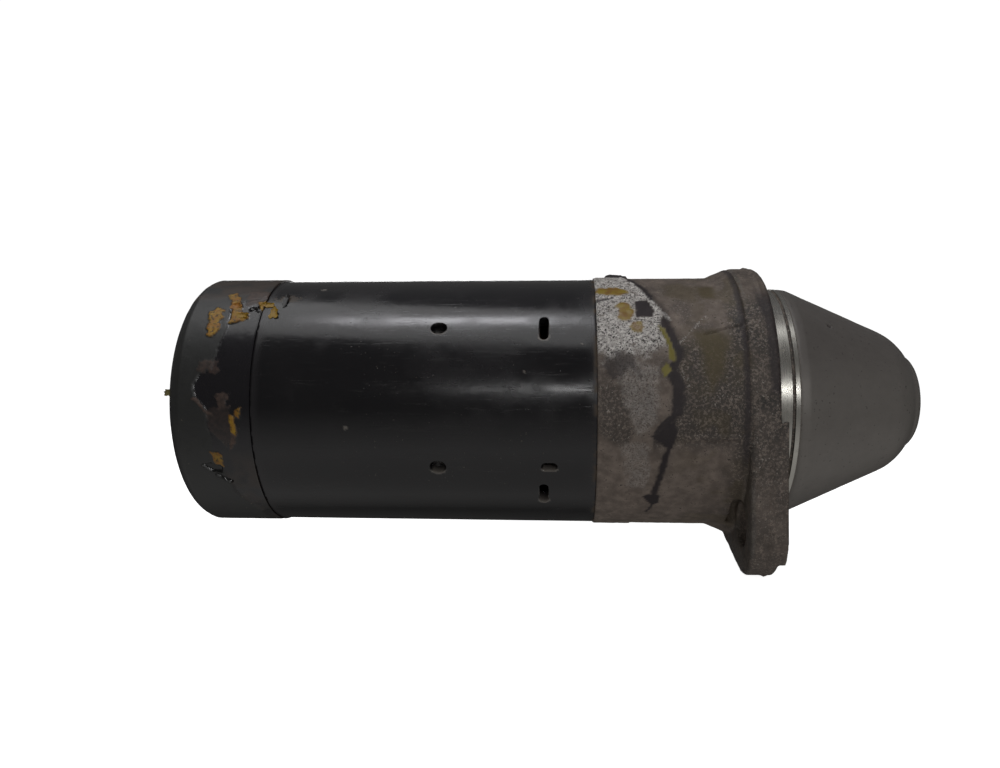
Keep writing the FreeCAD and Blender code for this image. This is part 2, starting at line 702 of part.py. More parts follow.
# ---------------------------------------------------------------- overrunning drive
def make_clutch_shell():
    """The splined sleeve and the outer race with its roller pockets."""
    body = turned([
        (SLEEVE_REAR_X, 0.0), (SLEEVE_REAR_X, SLEEVE_R), (CLUTCH_X[0], SLEEVE_R),
        (CLUTCH_X[0], CLUTCH_R - 3.0), (CLUTCH_X[0] + 2.0, CLUTCH_R), (CLUTCH_X[1], CLUTCH_R),
        (CLUTCH_X[1], 0.0),
    ])
    cavity_x = CLUTCH_X[0] + 3.5
    pocket = rod(cavity_x, CLUTCH_X[1] + 1, ROLLER_R + 0.25, ROLLER_CIRCLE_R, 0)
    spring_bore = Part.makeCylinder(1.9, 8.0, Vector(-2.5, ROLLER_CIRCLE_R, 0), ALONG_Z)
    cuts = [rod(cavity_x, CLUTCH_X[1] + 1, RACE_R + 0.3)]
    cuts += around(pocket, ROLLER_COUNT) + around(spring_bore, ROLLER_COUNT)
    cuts.append(rod(SLEEVE_REAR_X - 1, -24.6, SPLINE_TIP_R + 0.7))
    cuts.append(rod(-12.0, cavity_x + 1, SPLINE_TIP_R + 0.7))
    shell = body.cut(group(cuts))
    step_share = 2 * SPLINE_CLEARANCE * SPLINE_TEETH / (2 * math.pi * SPLINE_ROOT_R)
    female = spline_bar(SLEEVE_REAR_X - 1, cavity_x + 1, SPLINE_TIP_R + SPLINE_CLEARANCE,
                        SPLINE_ROOT_R + SPLINE_CLEARANCE, 0.44 + step_share)
    return shell.cut(female)


def make_clutch_rollers():
    roller = rod(CLUTCH_X[0] + 3.9, CLUTCH_X[1] - 0.4, ROLLER_R, ROLLER_CIRCLE_R, 0)
    return group(around(roller, ROLLER_COUNT))


def make_clutch_springs():
    """The small springs that nudge the rollers into their wedges."""
    spring = coil_spring(ROLLER_R + 0.1, 7.7, 1.35, 0.3, 4)
    spring.rotate(ORIGIN, ALONG_Y, -90)
    spring.translate(Vector(-2.5, ROLLER_CIRCLE_R, 0))
    return group(around(spring, ROLLER_COUNT))


def make_clutch_cover():
    """The steel cap crimped over the clutch."""
    return joined([tube(CLUTCH_X[1], CLUTCH_X[1] + 1.0, CLUTCH_R + 0.9, 11.2),
                   tube(CLUTCH_X[0] + 2.4, CLUTCH_X[1], CLUTCH_R + 0.9, CLUTCH_R)])


def make_pinion():
    """The drive gear and the inner race of the clutch in one piece."""
    addendum = 0.85
    gear = spur_gear(PINION_X[0], PINION_X[1], PINION_TEETH, PINION_MODULE, 0.0, addendum, 0.95)
    tip_r = (PINION_TEETH / 2 + addendum) * PINION_MODULE
    lead_in = turned([
        (PINION_X[0] - 1, 0.0), (PINION_X[0] - 1, tip_r + 1), (PINION_X[1] - 1.8, tip_r + 1),
        (PINION_X[1], tip_r - 2.0), (PINION_X[1], 0.0),
    ])
    body = joined([gear.common(lead_in),
                   rod(CLUTCH_X[1] - 0.6, PINION_X[0], 10.6),
                   rod(CLUTCH_X[0] + 3.9, CLUTCH_X[1] - 0.4, RACE_R)])
    return body.cut(group([rod(CLUTCH_X[0], 6.6, SPLINE_TIP_R + 0.5),
                           rod(6.0, PINION_X[1] + 1, PINION_BORE_R)]))


def make_pinion_bush():
    return tube(6.8, PINION_X[1] - 0.5, PINION_BORE_R, FRONT_JOURNAL_R + FIT)


def make_shift_collar():
    """The grooved collar that the fork pushes."""
    middle = sum(COLLAR_X) / 2
    return turned([
        (COLLAR_X[0], SLEEVE_R + FIT), (COLLAR_X[0], COLLAR_R), (middle - COLLAR_GROOVE_HALF, COLLAR_R),
        (middle - COLLAR_GROOVE_HALF, COLLAR_GROOVE_R), (middle + COLLAR_GROOVE_HALF, COLLAR_GROOVE_R),
        (middle + COLLAR_GROOVE_HALF, COLLAR_R), (COLLAR_X[1], COLLAR_R), (COLLAR_X[1], SLEEVE_R + FIT),
    ])


def make_collar_clip():
    """The wire ring that keeps the collar on the sleeve."""
    ring = tube(-25.2, -24.0, SLEEVE_R + 1.6, SLEEVE_R)
    return ring.cut(block((-26.0, -23.0), (8.0, 16.0), (-2.0, 2.0)))


def make_stop_ring():
    """The ring that stops the pinion's travel."""
    return turned([(33.8, FRONT_JOURNAL_R + 0.02), (33.8, 9.6), (36.0, 9.6), (36.0, 8.1),
                   (35.7, 8.1), (35.7, FRONT_JOURNAL_R + 0.02)]).cut(tube(34.15, 35.65, 8.05, 6.0))


def make_stop_clip():
    """The round snap ring in the shaft groove, under the stop ring."""
    ring = tube(34.25, 35.55, 7.9, 5.95)
    return ring.cut(block((34.0, 36.0), (5.0, 9.0), (-1.5, 1.5)))


def make_nose_bush():
    return tube(37.0, SHAFT_FRONT_X, 8.6, FRONT_JOURNAL_R + FIT)


# ---------------------------------------------------------------- drive housing
def make_drive_housing():
    """The aluminium casting: barrel, flange with its ears, pilot, nose and solenoid pod."""
    outside = joined([nose_and_barrel(), flange(), pod_outside()])
    cavity = turned([
        (YOKE_FRONT_X - 5.0, 0.0), (YOKE_FRONT_X - 5.0, YOKE_BORE_R), (BEARING_PLATE_X[1], YOKE_BORE_R),
        (BEARING_PLATE_X[1], BARREL_R - BARREL_WALL), (-5.0, BARREL_R - BARREL_WALL), (-3.0, 32.0),
        (SPIGOT_END_X, 32.0), (NOSE_SHOULDER_X - 0.5, NOSE_SHOULDER_R - NOSE_WALL),
        (NOSE_SHOULDER_X - 0.5, 8.6), (SHAFT_FRONT_X + 0.4, 8.6), (SHAFT_FRONT_X + 0.4, 0.0),
    ])
    bosses = []
    cuts = [pod_cavity()]
    for angle in BOLT_ANGLES:
        y, z = at_angle(BOLT_CIRCLE_R, angle)
        bosses.append(rod(BEARING_PLATE_X[1], -12.5, 5.0, y, z))
        cuts.append(rod(BEARING_PLATE_X[1] - 1, BOLT_END_X + 0.5, BOLT_R, y, z))
    cuts += ear_cuts(LOWER_EAR) + ear_cuts(UPPER_EAR)
    cuts.append(nose_window())
    cuts.append(pivot_pin(PIVOT_PIN_HALF + 1.0))
    for side in (-1, 1):
        z = side * 21.5
        cuts.append(rod(-25.0, POD_FRONT_X + 1, 2.6, SOLENOID_Y, z))
        cuts.append(rod(-3.6, POD_FRONT_X + 1, 4.9, SOLENOID_Y, z))
    shell = outside.cut(cavity)
    return joined([shell] + [boss.common(outside) for boss in bosses]).cut(group(cuts))


def nose_and_barrel():
    """The turned envelope from the yoke seam to the tip of the nose."""
    shoulder = Part.Arc(Vector(NOSE_SHOULDER_X, NOSE_SHOULDER_R, 0), Vector(41.6, 19.4, 0),
                        Vector(NOSE_BOSS_X, NOSE_BOSS_R + 0.5, 0)).toShape()
    tip = Part.Arc(Vector(NOSE_BOSS_X, NOSE_BOSS_R, 0), Vector(46.3, 14.3, 0),
                   Vector(NOSE_TIP_X, NOSE_TIP_R, 0)).toShape()
    groove_r = SPIGOT_R - SPIGOT_GROOVE_DEPTH
    return turned_edges([
        line((YOKE_FRONT_X, 0), (YOKE_FRONT_X, BARREL_R)),
        line((YOKE_FRONT_X, BARREL_R), (RIM_GROOVE_X, BARREL_R)),
        line((RIM_GROOVE_X, BARREL_R), (FLANGE_REAR_X + 1, groove_r)),
        line((FLANGE_REAR_X + 1, groove_r), (ROOT_RELIEF_X, groove_r)),
        line((ROOT_RELIEF_X, groove_r), (ROOT_RELIEF_X, SPIGOT_R)),
        line((ROOT_RELIEF_X, SPIGOT_R), (SPIGOT_LAND_X, SPIGOT_R)),
        line((SPIGOT_LAND_X, SPIGOT_R), (SPIGOT_LAND_X, groove_r)),
        line((SPIGOT_LAND_X, groove_r), (SPIGOT_GROOVE_X, groove_r)),
        line((SPIGOT_GROOVE_X, groove_r), (SPIGOT_GROOVE_X, SPIGOT_R)),
        line((SPIGOT_GROOVE_X, SPIGOT_R), (SPIGOT_END_X, SPIGOT_R)),
        line((SPIGOT_END_X, SPIGOT_R), (7.0, NOSE_CONE_R)),
        line((7.0, NOSE_CONE_R), (NOSE_SHOULDER_X, NOSE_SHOULDER_R)),
        shoulder,
        line((NOSE_BOSS_X, NOSE_BOSS_R + 0.5), (NOSE_BOSS_X, NOSE_BOSS_R)),
        tip,
        line((NOSE_TIP_X, NOSE_TIP_R), (NOSE_TIP_X, 0)),
        line((NOSE_TIP_X, 0), (YOKE_FRONT_X, 0)),
    ])


def flange():
    """The mounting plate with its two ears and their raised pads."""
    centre = (FLANGE_CENTRE_Y, 0.0)
    lower = tangent_web(FLANGE_REAR_X, FLANGE_FRONT_X, centre, FLANGE_R, LOWER_EAR, EAR_R)
    upper = tangent_web(FLANGE_REAR_X, FLANGE_FRONT_X, centre, 36.0, UPPER_EAR, EAR_R)
    lower_pad = tangent_web(FLANGE_FRONT_X, 0.0, centre, FLANGE_R, LOWER_EAR, EAR_R)
    lower_pad = lower_pad.common(block((-3, 1), (-60, 26), (PAD_FOOT_Z, 0.0)))
    upper_pad = rod(FLANGE_FRONT_X, 0.0, EAR_R - 1.0, *UPPER_EAR)
    lower, upper = [broken_edges(web) for web in (lower, upper)]
    rings = [(FLARE_START_X, 0.0, BARREL_R - 0.02), (RIM_GROOVE_X, FLARE_CENTRE_Y, FLARE_R)]
    circles = [Part.Wire([Part.makeCircle(r, Vector(x, y, 0), ALONG_X)]) for x, y, r in rings]
    flare = Part.makeLoft(circles, True)
    neck = rod(RIM_GROOVE_X - 1, FLANGE_REAR_X + 1, RIM_GROOVE_R, FLARE_CENTRE_Y - 0.8)
    lower_pad = lower_pad.cut(rod(FLANGE_FRONT_X, 1.0, PAD_RELIEF_R))
    return joined([lower, upper, lower_pad, upper_pad, flare, neck])


def broken_edges(web):
    """The web with a small chamfer round its front and rear faces."""
    ends = [face for face in web.Faces if face.Surface.TypeId == "Part::GeomPlane"
            and abs(face.normalAt(0, 0).x) > 0.99]
    return web.makeChamfer(EDGE_BREAK, [edge for face in ends for edge in face.Edges])


def ear_cuts(ear):
    """The bolt hole of an ear, its chamfers and the room for the bolt's head behind it."""
    y, z = ear
    centre = Vector(FLANGE_REAR_X, y, z)
    rear = Part.makeCone(EAR_HOLE_R + EAR_CHAMFER, EAR_HOLE_R, EAR_CHAMFER, centre, ALONG_X)
    front_centre = Vector(-EAR_CHAMFER, y, z)
    front = Part.makeCone(EAR_HOLE_R, EAR_HOLE_R + EAR_CHAMFER, EAR_CHAMFER, front_centre, ALONG_X)
    head_room = rod(FLANGE_REAR_X - HEAD_ROOM_DEPTH, FLANGE_REAR_X, HEAD_ROOM_R, y, z)
    return [rod(FLANGE_REAR_X - 1, 1.0, EAR_HOLE_R, y, z), rear, front, head_room]


def pod_outside():
    """The chamber that joins the solenoid to the barrel."""
    rear_x = -24.0
    shell = rod(rear_x, POD_FRONT_X, SOLENOID_R + 1.0, SOLENOID_Y, 0)
    neck = block((rear_x, POD_FRONT_X), (30.0, SOLENOID_Y), (-18.0, 18.0))
    spigot_relief = rod(FLANGE_FRONT_X, 1.0, PAD_RELIEF_R)
    return joined([shell, neck]).cut(group([rod(rear_x - 1, 1.0, 30.0), spigot_relief]))


def pod_cavity():
    """The space for the plunger hook and the lever."""
    upper = block((-25.0, -2.4), (45.0, 81.0), (-12.5, 12.5))
    lower = block((-20.5, -4.4), (28.0, 45.5), (-12.5, 12.5))
    return joined([upper, lower])


def nose_window():
    """The opening in the nose through which the pinion meets the ring gear."""
    cut = block(WINDOW_X, (WINDOW_FLOOR_R, 60.0), (-WINDOW_HALF_WIDTH, WINDOW_HALF_WIDTH))
    return turn(cut, WINDOW_ANGLE)


# ---------------------------------------------------------------- shift lever
def make_fork_lever():
    """The two-armed lever, drawn upright and then laid back to its rest tilt."""
    pivot_x, pivot_y = LEVER_PIVOT
    half = LEVER_THICKNESS / 2
    arm = [(-4.0, 18.8), (-4.0, 22.0), (12.0, 22.0), (30.0, 10.0), (30.0, 0.0), (23.5, 0.0),
           (23.5, 8.0), (10.0, 18.8)]
    arms = [plate(pivot_x - half, pivot_x + half, [(y, side * z) for y, z in arm]) for side in (-1, 1)]
    blade = block((pivot_x - half, pivot_x + half), (24.0, pivot_y + LEVER_HEAD_REACH), (-5.0, 5.0))
    hub = Part.makeCylinder(5.4, 18.0, Vector(pivot_x, pivot_y, -9.0), ALONG_Z)
    head = Part.makeCylinder(2.6, 10.0, Vector(pivot_x, pivot_y + LEVER_HEAD_REACH, -5.0), ALONG_Z)
    pads = []
    for side in (-1, 1):
        base = 14.6 if side > 0 else -20.0
        pads.append(Part.makeCylinder(LEVER_PAD_R, 5.4, Vector(pivot_x, 0, base), ALONG_Z))
    lever = joined(arms + [blade, hub, head] + pads)
    lever = lever.cut(Part.makeCylinder(PIVOT_PIN_R + FIT, 20.0, Vector(pivot_x, pivot_y, -10.0), ALONG_Z))
    return turn(lever, LEVER_REST_TILT, Vector(pivot_x, pivot_y, 0), ALONG_Z)


def pivot_pin(top):
    """The cross pin of the lever, from its blind end below to a height above the middle."""
    foot = Vector(LEVER_PIVOT[0], LEVER_PIVOT[1], -16.0)
    return Part.makeCylinder(PIVOT_PIN_R, top + 16.0, foot, ALONG_Z)


# ---------------------------------------------------------------- solenoid
def make_solenoid_can():
    """The steel can with its front pole plate."""
    rear_x, front_x = SOLENOID_X
    can = rod(rear_x, front_x, SOLENOID_R, SOLENOID_Y)
    bore = rod(rear_x - 1, front_x - 4.0, SOLENOID_R - SOLENOID_WALL, SOLENOID_Y)
    hole = rod(rear_x, front_x + 1, PLUNGER_R + 0.5, SOLENOID_Y)
    threads = [rod(front_x - 4.5, front_x + 1, 2.5, SOLENOID_Y, side * 21.5) for side in (-1, 1)]
    return can.cut(group([bore, hole] + threads))


def make_solenoid_gasket():
    ring = tube(-24.6, -24.0, SOLENOID_R, 19.0, SOLENOID_Y)
    return ring.cut(group([rod(-25.0, -23.0, 2.7, SOLENOID_Y, side * 21.5) for side in (-1, 1)]))


def make_coil_bobbin():
    """The moulded spool with its brass-lined bore."""
    barrel = tube(-67.0, -28.8, PLUNGER_R + 1.3, PLUNGER_R + 0.4, SOLENOID_Y)
    cheeks = [tube(x, x + 1.2, 22.8, PLUNGER_R + 0.4, SOLENOID_Y) for x in (-67.0, -30.0)]
    return joined([barrel] + cheeks)


def make_pull_in_winding():
    return tube(-65.6, -30.2, 16.6, PLUNGER_R + 1.4, SOLENOID_Y)


def make_hold_in_winding():
    return tube(-65.6, -30.2, 22.2, 16.8, SOLENOID_Y)


def make_solenoid_core():
    """The fixed pole piece at the back of the coil."""
    body = joined([rod(-71.6, -64.8, PLUNGER_R, SOLENOID_Y),
                   rod(-71.6, -67.2, SOLENOID_R - SOLENOID_WALL - FIT, SOLENOID_Y)])
    return body.cut(rod(-72.0, -64.0, 3.0, SOLENOID_Y))


def make_plunger():
    """The iron plunger with its return-spring bore and the hook for the lever."""
    rear_x, front_x = PLUNGER_X
    body = joined([
        rod(rear_x, front_x, PLUNGER_R, SOLENOID_Y),
        rod(front_x, -10.4, 5.0, SOLENOID_Y),
        block((-12.6, -2.8), (62.0, 73.5), (-6.0, 6.0)),
    ])
    head_x = LEVER_PIVOT[0] - LEVER_HEAD_REACH * math.sin(math.radians(LEVER_REST_TILT))
    slot = block((head_x - 2.95, head_x + 2.95), (60.0, 71.0), (-7.0, 7.0))
    return body.cut(group([slot, rod(rear_x - 1, rear_x + PLUNGER_BORE_DEPTH, 6.4, SOLENOID_Y)]))


def make_plunger_spring():
    return coil_spring(-64.7, PLUNGER_X[0] + PLUNGER_BORE_DEPTH - 0.1, 5.3, 0.6, 5, SOLENOID_Y)


def make_contact_bridge():
    """The copper bar that closes the motor circuit, on its insulated push rod."""
    bar = block((-86.0, -83.5), (SOLENOID_Y - 5.0, SOLENOID_Y + 5.0), (-16.0, 16.0))
    return bar.cut(rod(-87.0, -83.0, 2.6, SOLENOID_Y))


def make_push_rod():
    """The rod that the plunger pushes through the core."""
    tip_x = PLUNGER_X[0] + PLUNGER_BORE_DEPTH - 5.8
    return joined([rod(-92.0, tip_x, 2.6, SOLENOID_Y), rod(-83.5, -82.0, 4.4, SOLENOID_Y)])


def make_contact_spring():
    return coil_spring(-99.4, -86.1, 4.0, 0.5, 5, SOLENOID_Y)


def make_terminal_cap():
    """The moulded cover that closes the contact chamber."""
    outside = joined([rod(-78.0, -74.0, SOLENOID_R, SOLENOID_Y), rod(-104.0, -78.0, 23.4, SOLENOID_Y),
                      rod(-78.0, -71.7, SOLENOID_R - SOLENOID_WALL - FIT, SOLENOID_Y)])
    chamber = rod(-99.6, -71.0, 19.4, SOLENOID_Y)
    holes = [rod(-105.0, -98.0, STUD_NECK_R, SOLENOID_Y, side * STUD_OFFSET) for side in (-1, 1)]
    holes.append(block((-105.0, -98.0), (SOLENOID_Y + 12.6, SOLENOID_Y + 13.4), (-3.15, 3.15)))
    return outside.cut(group([chamber] + holes))


def make_stud(side):
    """A contact bolt: its square head is the fixed contact."""
    z = side * STUD_OFFSET
    head = block((-99.6, -89.1), (SOLENOID_Y - 5.0, SOLENOID_Y + 5.0), (z - 4.8, z + 4.8))
    neck = rod(STUD_THREAD_X, -99.6, STUD_NECK_R, SOLENOID_Y, z)
    return joined([head, neck, rod(STUD_END_X + 0.8, STUD_THREAD_X, STUD_R, SOLENOID_Y, z),
                   Part.makeCone(STUD_R - 0.8, STUD_R, 0.8, Vector(STUD_END_X, SOLENOID_Y, z), ALONG_X)])


def make_terminal_hardware():
    """The nut and the spring washer of each stud; the lead's eye is clamped under one."""
    pieces = []
    for side, seat_x in ((1, -104.0), (-1, -105.4)):
        z = side * STUD_OFFSET
        nut = hexagon(seat_x - 5.4, seat_x - 1.0, 13.0, SOLENOID_Y, z)
        pieces.append(nut.cut(rod(seat_x - 6.0, seat_x, STUD_NECK_R, SOLENOID_Y, z)))
        pieces.append(tube(seat_x - 1.0, seat_x, 6.8, STUD_NECK_R + 0.2, SOLENOID_Y, z))
    return group(pieces)


def make_switch_tab():
    """The blade terminal of the control circuit."""
    return block((-115.0, -96.0), (SOLENOID_Y + 12.6, SOLENOID_Y + 13.4), (-3.15, 3.15))


def make_solenoid_screws():
    screws = []
    for side in (-1, 1):
        z = side * 21.5
        head = rod(-3.6, -0.4, 4.4, SOLENOID_Y, z).cut(hexagon(-2.4, 0.0, 4.0, SOLENOID_Y, z))
        screws.append(joined([head, rod(-28.6, -3.6, 2.5, SOLENOID_Y, z)]))
    return group(screws)


# ---------------------------------------------------------------- the whole object
def make_parts():
    parts = {
        "drive_housing": make_drive_housing(),
        "yoke": make_yoke(),
        "rear_cap": make_rear_cap(),
        "rear_bush": make_rear_bush(),
        "magnet_clips": make_magnet_clips(),
        "through_bolts": make_through_bolts(),
        "armature_shaft": make_armature_shaft(),
        "armature_core": make_armature_core(),
        "armature_winding": make_armature_winding(),
        "commutator_bars": make_commutator_bars(),
        "commutator_hub": make_commutator_hub(),
        "brush_plate": make_brush_plate(),
        "brush_plate_screws": make_plate_screws(),
        "brush_holders": group([make_brush_holder(angle) for angle in BRUSH_ANGLES]),
        "brush_springs": group([make_brush_spring(angle) for angle in BRUSH_ANGLES]),
        "positive_bus": make_positive_bus(),
        "motor_lead": make_motor_lead(),
        "lead_terminal": make_lead_terminal(),
        "lead_grommet": make_lead_grommet(),
        "planet_pins": make_planet_pins(),
        "ring_gear": make_ring_gear(),
        "gear_cover": make_gear_cover(),
        "output_shaft": make_output_shaft(),
        "pilot_bush": make_pilot_bush(),
        "bearing_plate": make_bearing_plate(),
        "bearing_bush": make_bearing_bush(),
        "clutch_shell": make_clutch_shell(),
        "clutch_rollers": make_clutch_rollers(),
        "clutch_springs": make_clutch_springs(),
        "clutch_cover": make_clutch_cover(),
        "drive_pinion": make_pinion(),
        "pinion_bush": make_pinion_bush(),
        "shift_collar": make_shift_collar(),
        "collar_clip": make_collar_clip(),
        "stop_ring": make_stop_ring(),
        "stop_clip": make_stop_clip(),
        "nose_bush": make_nose_bush(),
        "fork_lever": make_fork_lever(),
        "lever_pivot_pin": pivot_pin(PIVOT_PIN_HALF),
        "solenoid_can": make_solenoid_can(),
        "solenoid_gasket": make_solenoid_gasket(),
        "coil_bobbin": make_coil_bobbin(),
        "pull_in_winding": make_pull_in_winding(),
        "hold_in_winding": make_hold_in_winding(),
        "solenoid_core": make_solenoid_core(),
        "plunger": make_plunger(),
        "plunger_spring": make_plunger_spring(),
        "contact_bridge": make_contact_bridge(),
        "push_rod": make_push_rod(),
        "contact_spring": make_contact_spring(),
        "terminal_cap": make_terminal_cap(),
        "terminal_studs": group([make_stud(1), make_stud(-1)]),
        "terminal_hardware": make_terminal_hardware(),
        "switch_tab": make_switch_tab(),
        "solenoid_screws": make_solenoid_screws(),
    }
    parts["magnets"] = group([make_magnet(number) for number in range(MAGNET_COUNT)])
    parts["brushes"] = group([make_brush(angle) for angle in BRUSH_ANGLES])
    for number in range(PLANET_COUNT):
        parts["planet_gear_%d" % (number + 1)] = make_planet(number)
    return parts


def main():
    os.makedirs("parts", exist_ok=True)
    for name, shape in make_parts().items():
        shape.exportStep(os.path.join("parts", name + ".step"))
        print("%-20s %2d solid(s) %9.1f mm3" % (name, len(shape.Solids), shape.Volume))


main()
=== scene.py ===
"""Looks of the starter motor: worn paint, corroded casting, machined pilot and the solenoid behind."""
import functools
import itertools
import json
import math
import random

import bmesh
import bpy
import numpy as np
from mathutils import Matrix, Vector


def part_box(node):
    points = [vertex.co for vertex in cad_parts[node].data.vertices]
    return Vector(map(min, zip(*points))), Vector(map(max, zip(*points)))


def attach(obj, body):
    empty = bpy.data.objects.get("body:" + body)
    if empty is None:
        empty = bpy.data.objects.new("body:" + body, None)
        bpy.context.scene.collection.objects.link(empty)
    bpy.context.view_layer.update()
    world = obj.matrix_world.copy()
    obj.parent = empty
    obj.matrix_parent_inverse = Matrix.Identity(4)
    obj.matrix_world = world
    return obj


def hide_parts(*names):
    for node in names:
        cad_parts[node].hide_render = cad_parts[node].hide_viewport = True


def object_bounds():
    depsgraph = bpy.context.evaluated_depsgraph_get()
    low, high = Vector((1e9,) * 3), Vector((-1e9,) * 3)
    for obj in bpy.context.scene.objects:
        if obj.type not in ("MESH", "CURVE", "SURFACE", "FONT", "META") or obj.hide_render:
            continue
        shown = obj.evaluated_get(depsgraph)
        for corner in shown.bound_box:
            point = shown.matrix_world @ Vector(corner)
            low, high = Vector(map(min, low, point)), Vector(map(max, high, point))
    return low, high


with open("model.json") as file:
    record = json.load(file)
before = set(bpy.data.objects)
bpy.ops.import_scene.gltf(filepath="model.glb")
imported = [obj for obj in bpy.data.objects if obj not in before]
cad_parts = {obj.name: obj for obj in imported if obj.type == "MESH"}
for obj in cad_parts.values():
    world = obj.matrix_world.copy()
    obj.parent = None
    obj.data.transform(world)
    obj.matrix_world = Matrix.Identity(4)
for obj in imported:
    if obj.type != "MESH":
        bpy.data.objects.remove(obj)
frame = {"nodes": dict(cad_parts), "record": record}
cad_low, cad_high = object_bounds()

MM = 0.001
RUN_R = 40                               # mm: the radius at which turns are measured as lengths
HASH = (374761393, 668265263, 2147483647, 1274126177)         # large primes for the lattice noise
NODES = frame["nodes"]
scene = bpy.context.scene

# ---------------- sizes read from the frame
YOKE_LOW, YOKE_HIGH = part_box("yoke")
CAP_LOW, CAP_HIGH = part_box("rear_cap")
HOUSING_LOW, HOUSING_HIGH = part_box("drive_housing")
YOKE_R = YOKE_HIGH.z
CAP_R = CAP_HIGH.z
SKIRT_X = CAP_HIGH.x                     # the open edge of the rear cap
YOKE_WALL = 4 * MM
CAP_HOLES = (                            # mm: y, z, radius and depth of the recess, radius of the drill
    (0, 33, 5, 5.5, 2.7),                # for the through bolts
    (24, 0, 3.5, 1.4, 1.9),              # for the brush plate's screws
)
YOKE_SLOTS = (                           # mm and degrees: x, turn, length, width
    *((-101, turn, 4.4, 3.7) for turn in (32.5, -30, -147.5, 150)),
    *((-67.9, turn, 4.3, 2.2) for turn in (-29.5, -150)),
    *((-69.6, turn, 2.5, 8.2) for turn in (32.5, -45, 147.5, -135)),
)


# ---------------- noise on arrays of points
def lattice(cells, seed):
    """A repeatable random number from 0 to 1 for each lattice cell."""
    mixed = cells[:, 0] * HASH[0] + cells[:, 1] * HASH[1] + cells[:, 2] * HASH[2] + seed * HASH[3]
    mixed = (mixed ^ (mixed >> 13)) * HASH[3] & 0xFFFFFFFF
    mixed = (mixed ^ (mixed >> 16)) & 0xFFFF
    return mixed / 65535


def smooth_noise(points, cell, seed=0):
    """Value noise from 0 to 1 with features the size of cell."""
    scaled = points / cell
    base = np.floor(scaled).astype(np.int64)
    part = scaled - base
    part = part * part * (3 - 2 * part)
    total = np.zeros(len(points))
    for corner in itertools.product((0, 1), repeat=3):
        weight = np.prod(np.where(corner, part, 1 - part), axis=1)
        total += weight * lattice(base + np.array(corner), seed)
    return total


def fractal(points, cell, octaves=3, seed=0):
    """Several octaves of noise, from 0 to 1."""
    total, weight, share = np.zeros(len(points)), 0, 1
    for octave in range(octaves):
        total += share * smooth_noise(points, cell / 2 ** octave, seed + 17 * octave)
        weight += share
        share *= 0.55
    return total / weight


def ease(low, high, value):
    """0 at low, 1 at high, smooth between them; low may be the larger."""
    t = np.clip((value - low) / (high - low), 0, 1)
    return t * t * (3 - 2 * t)


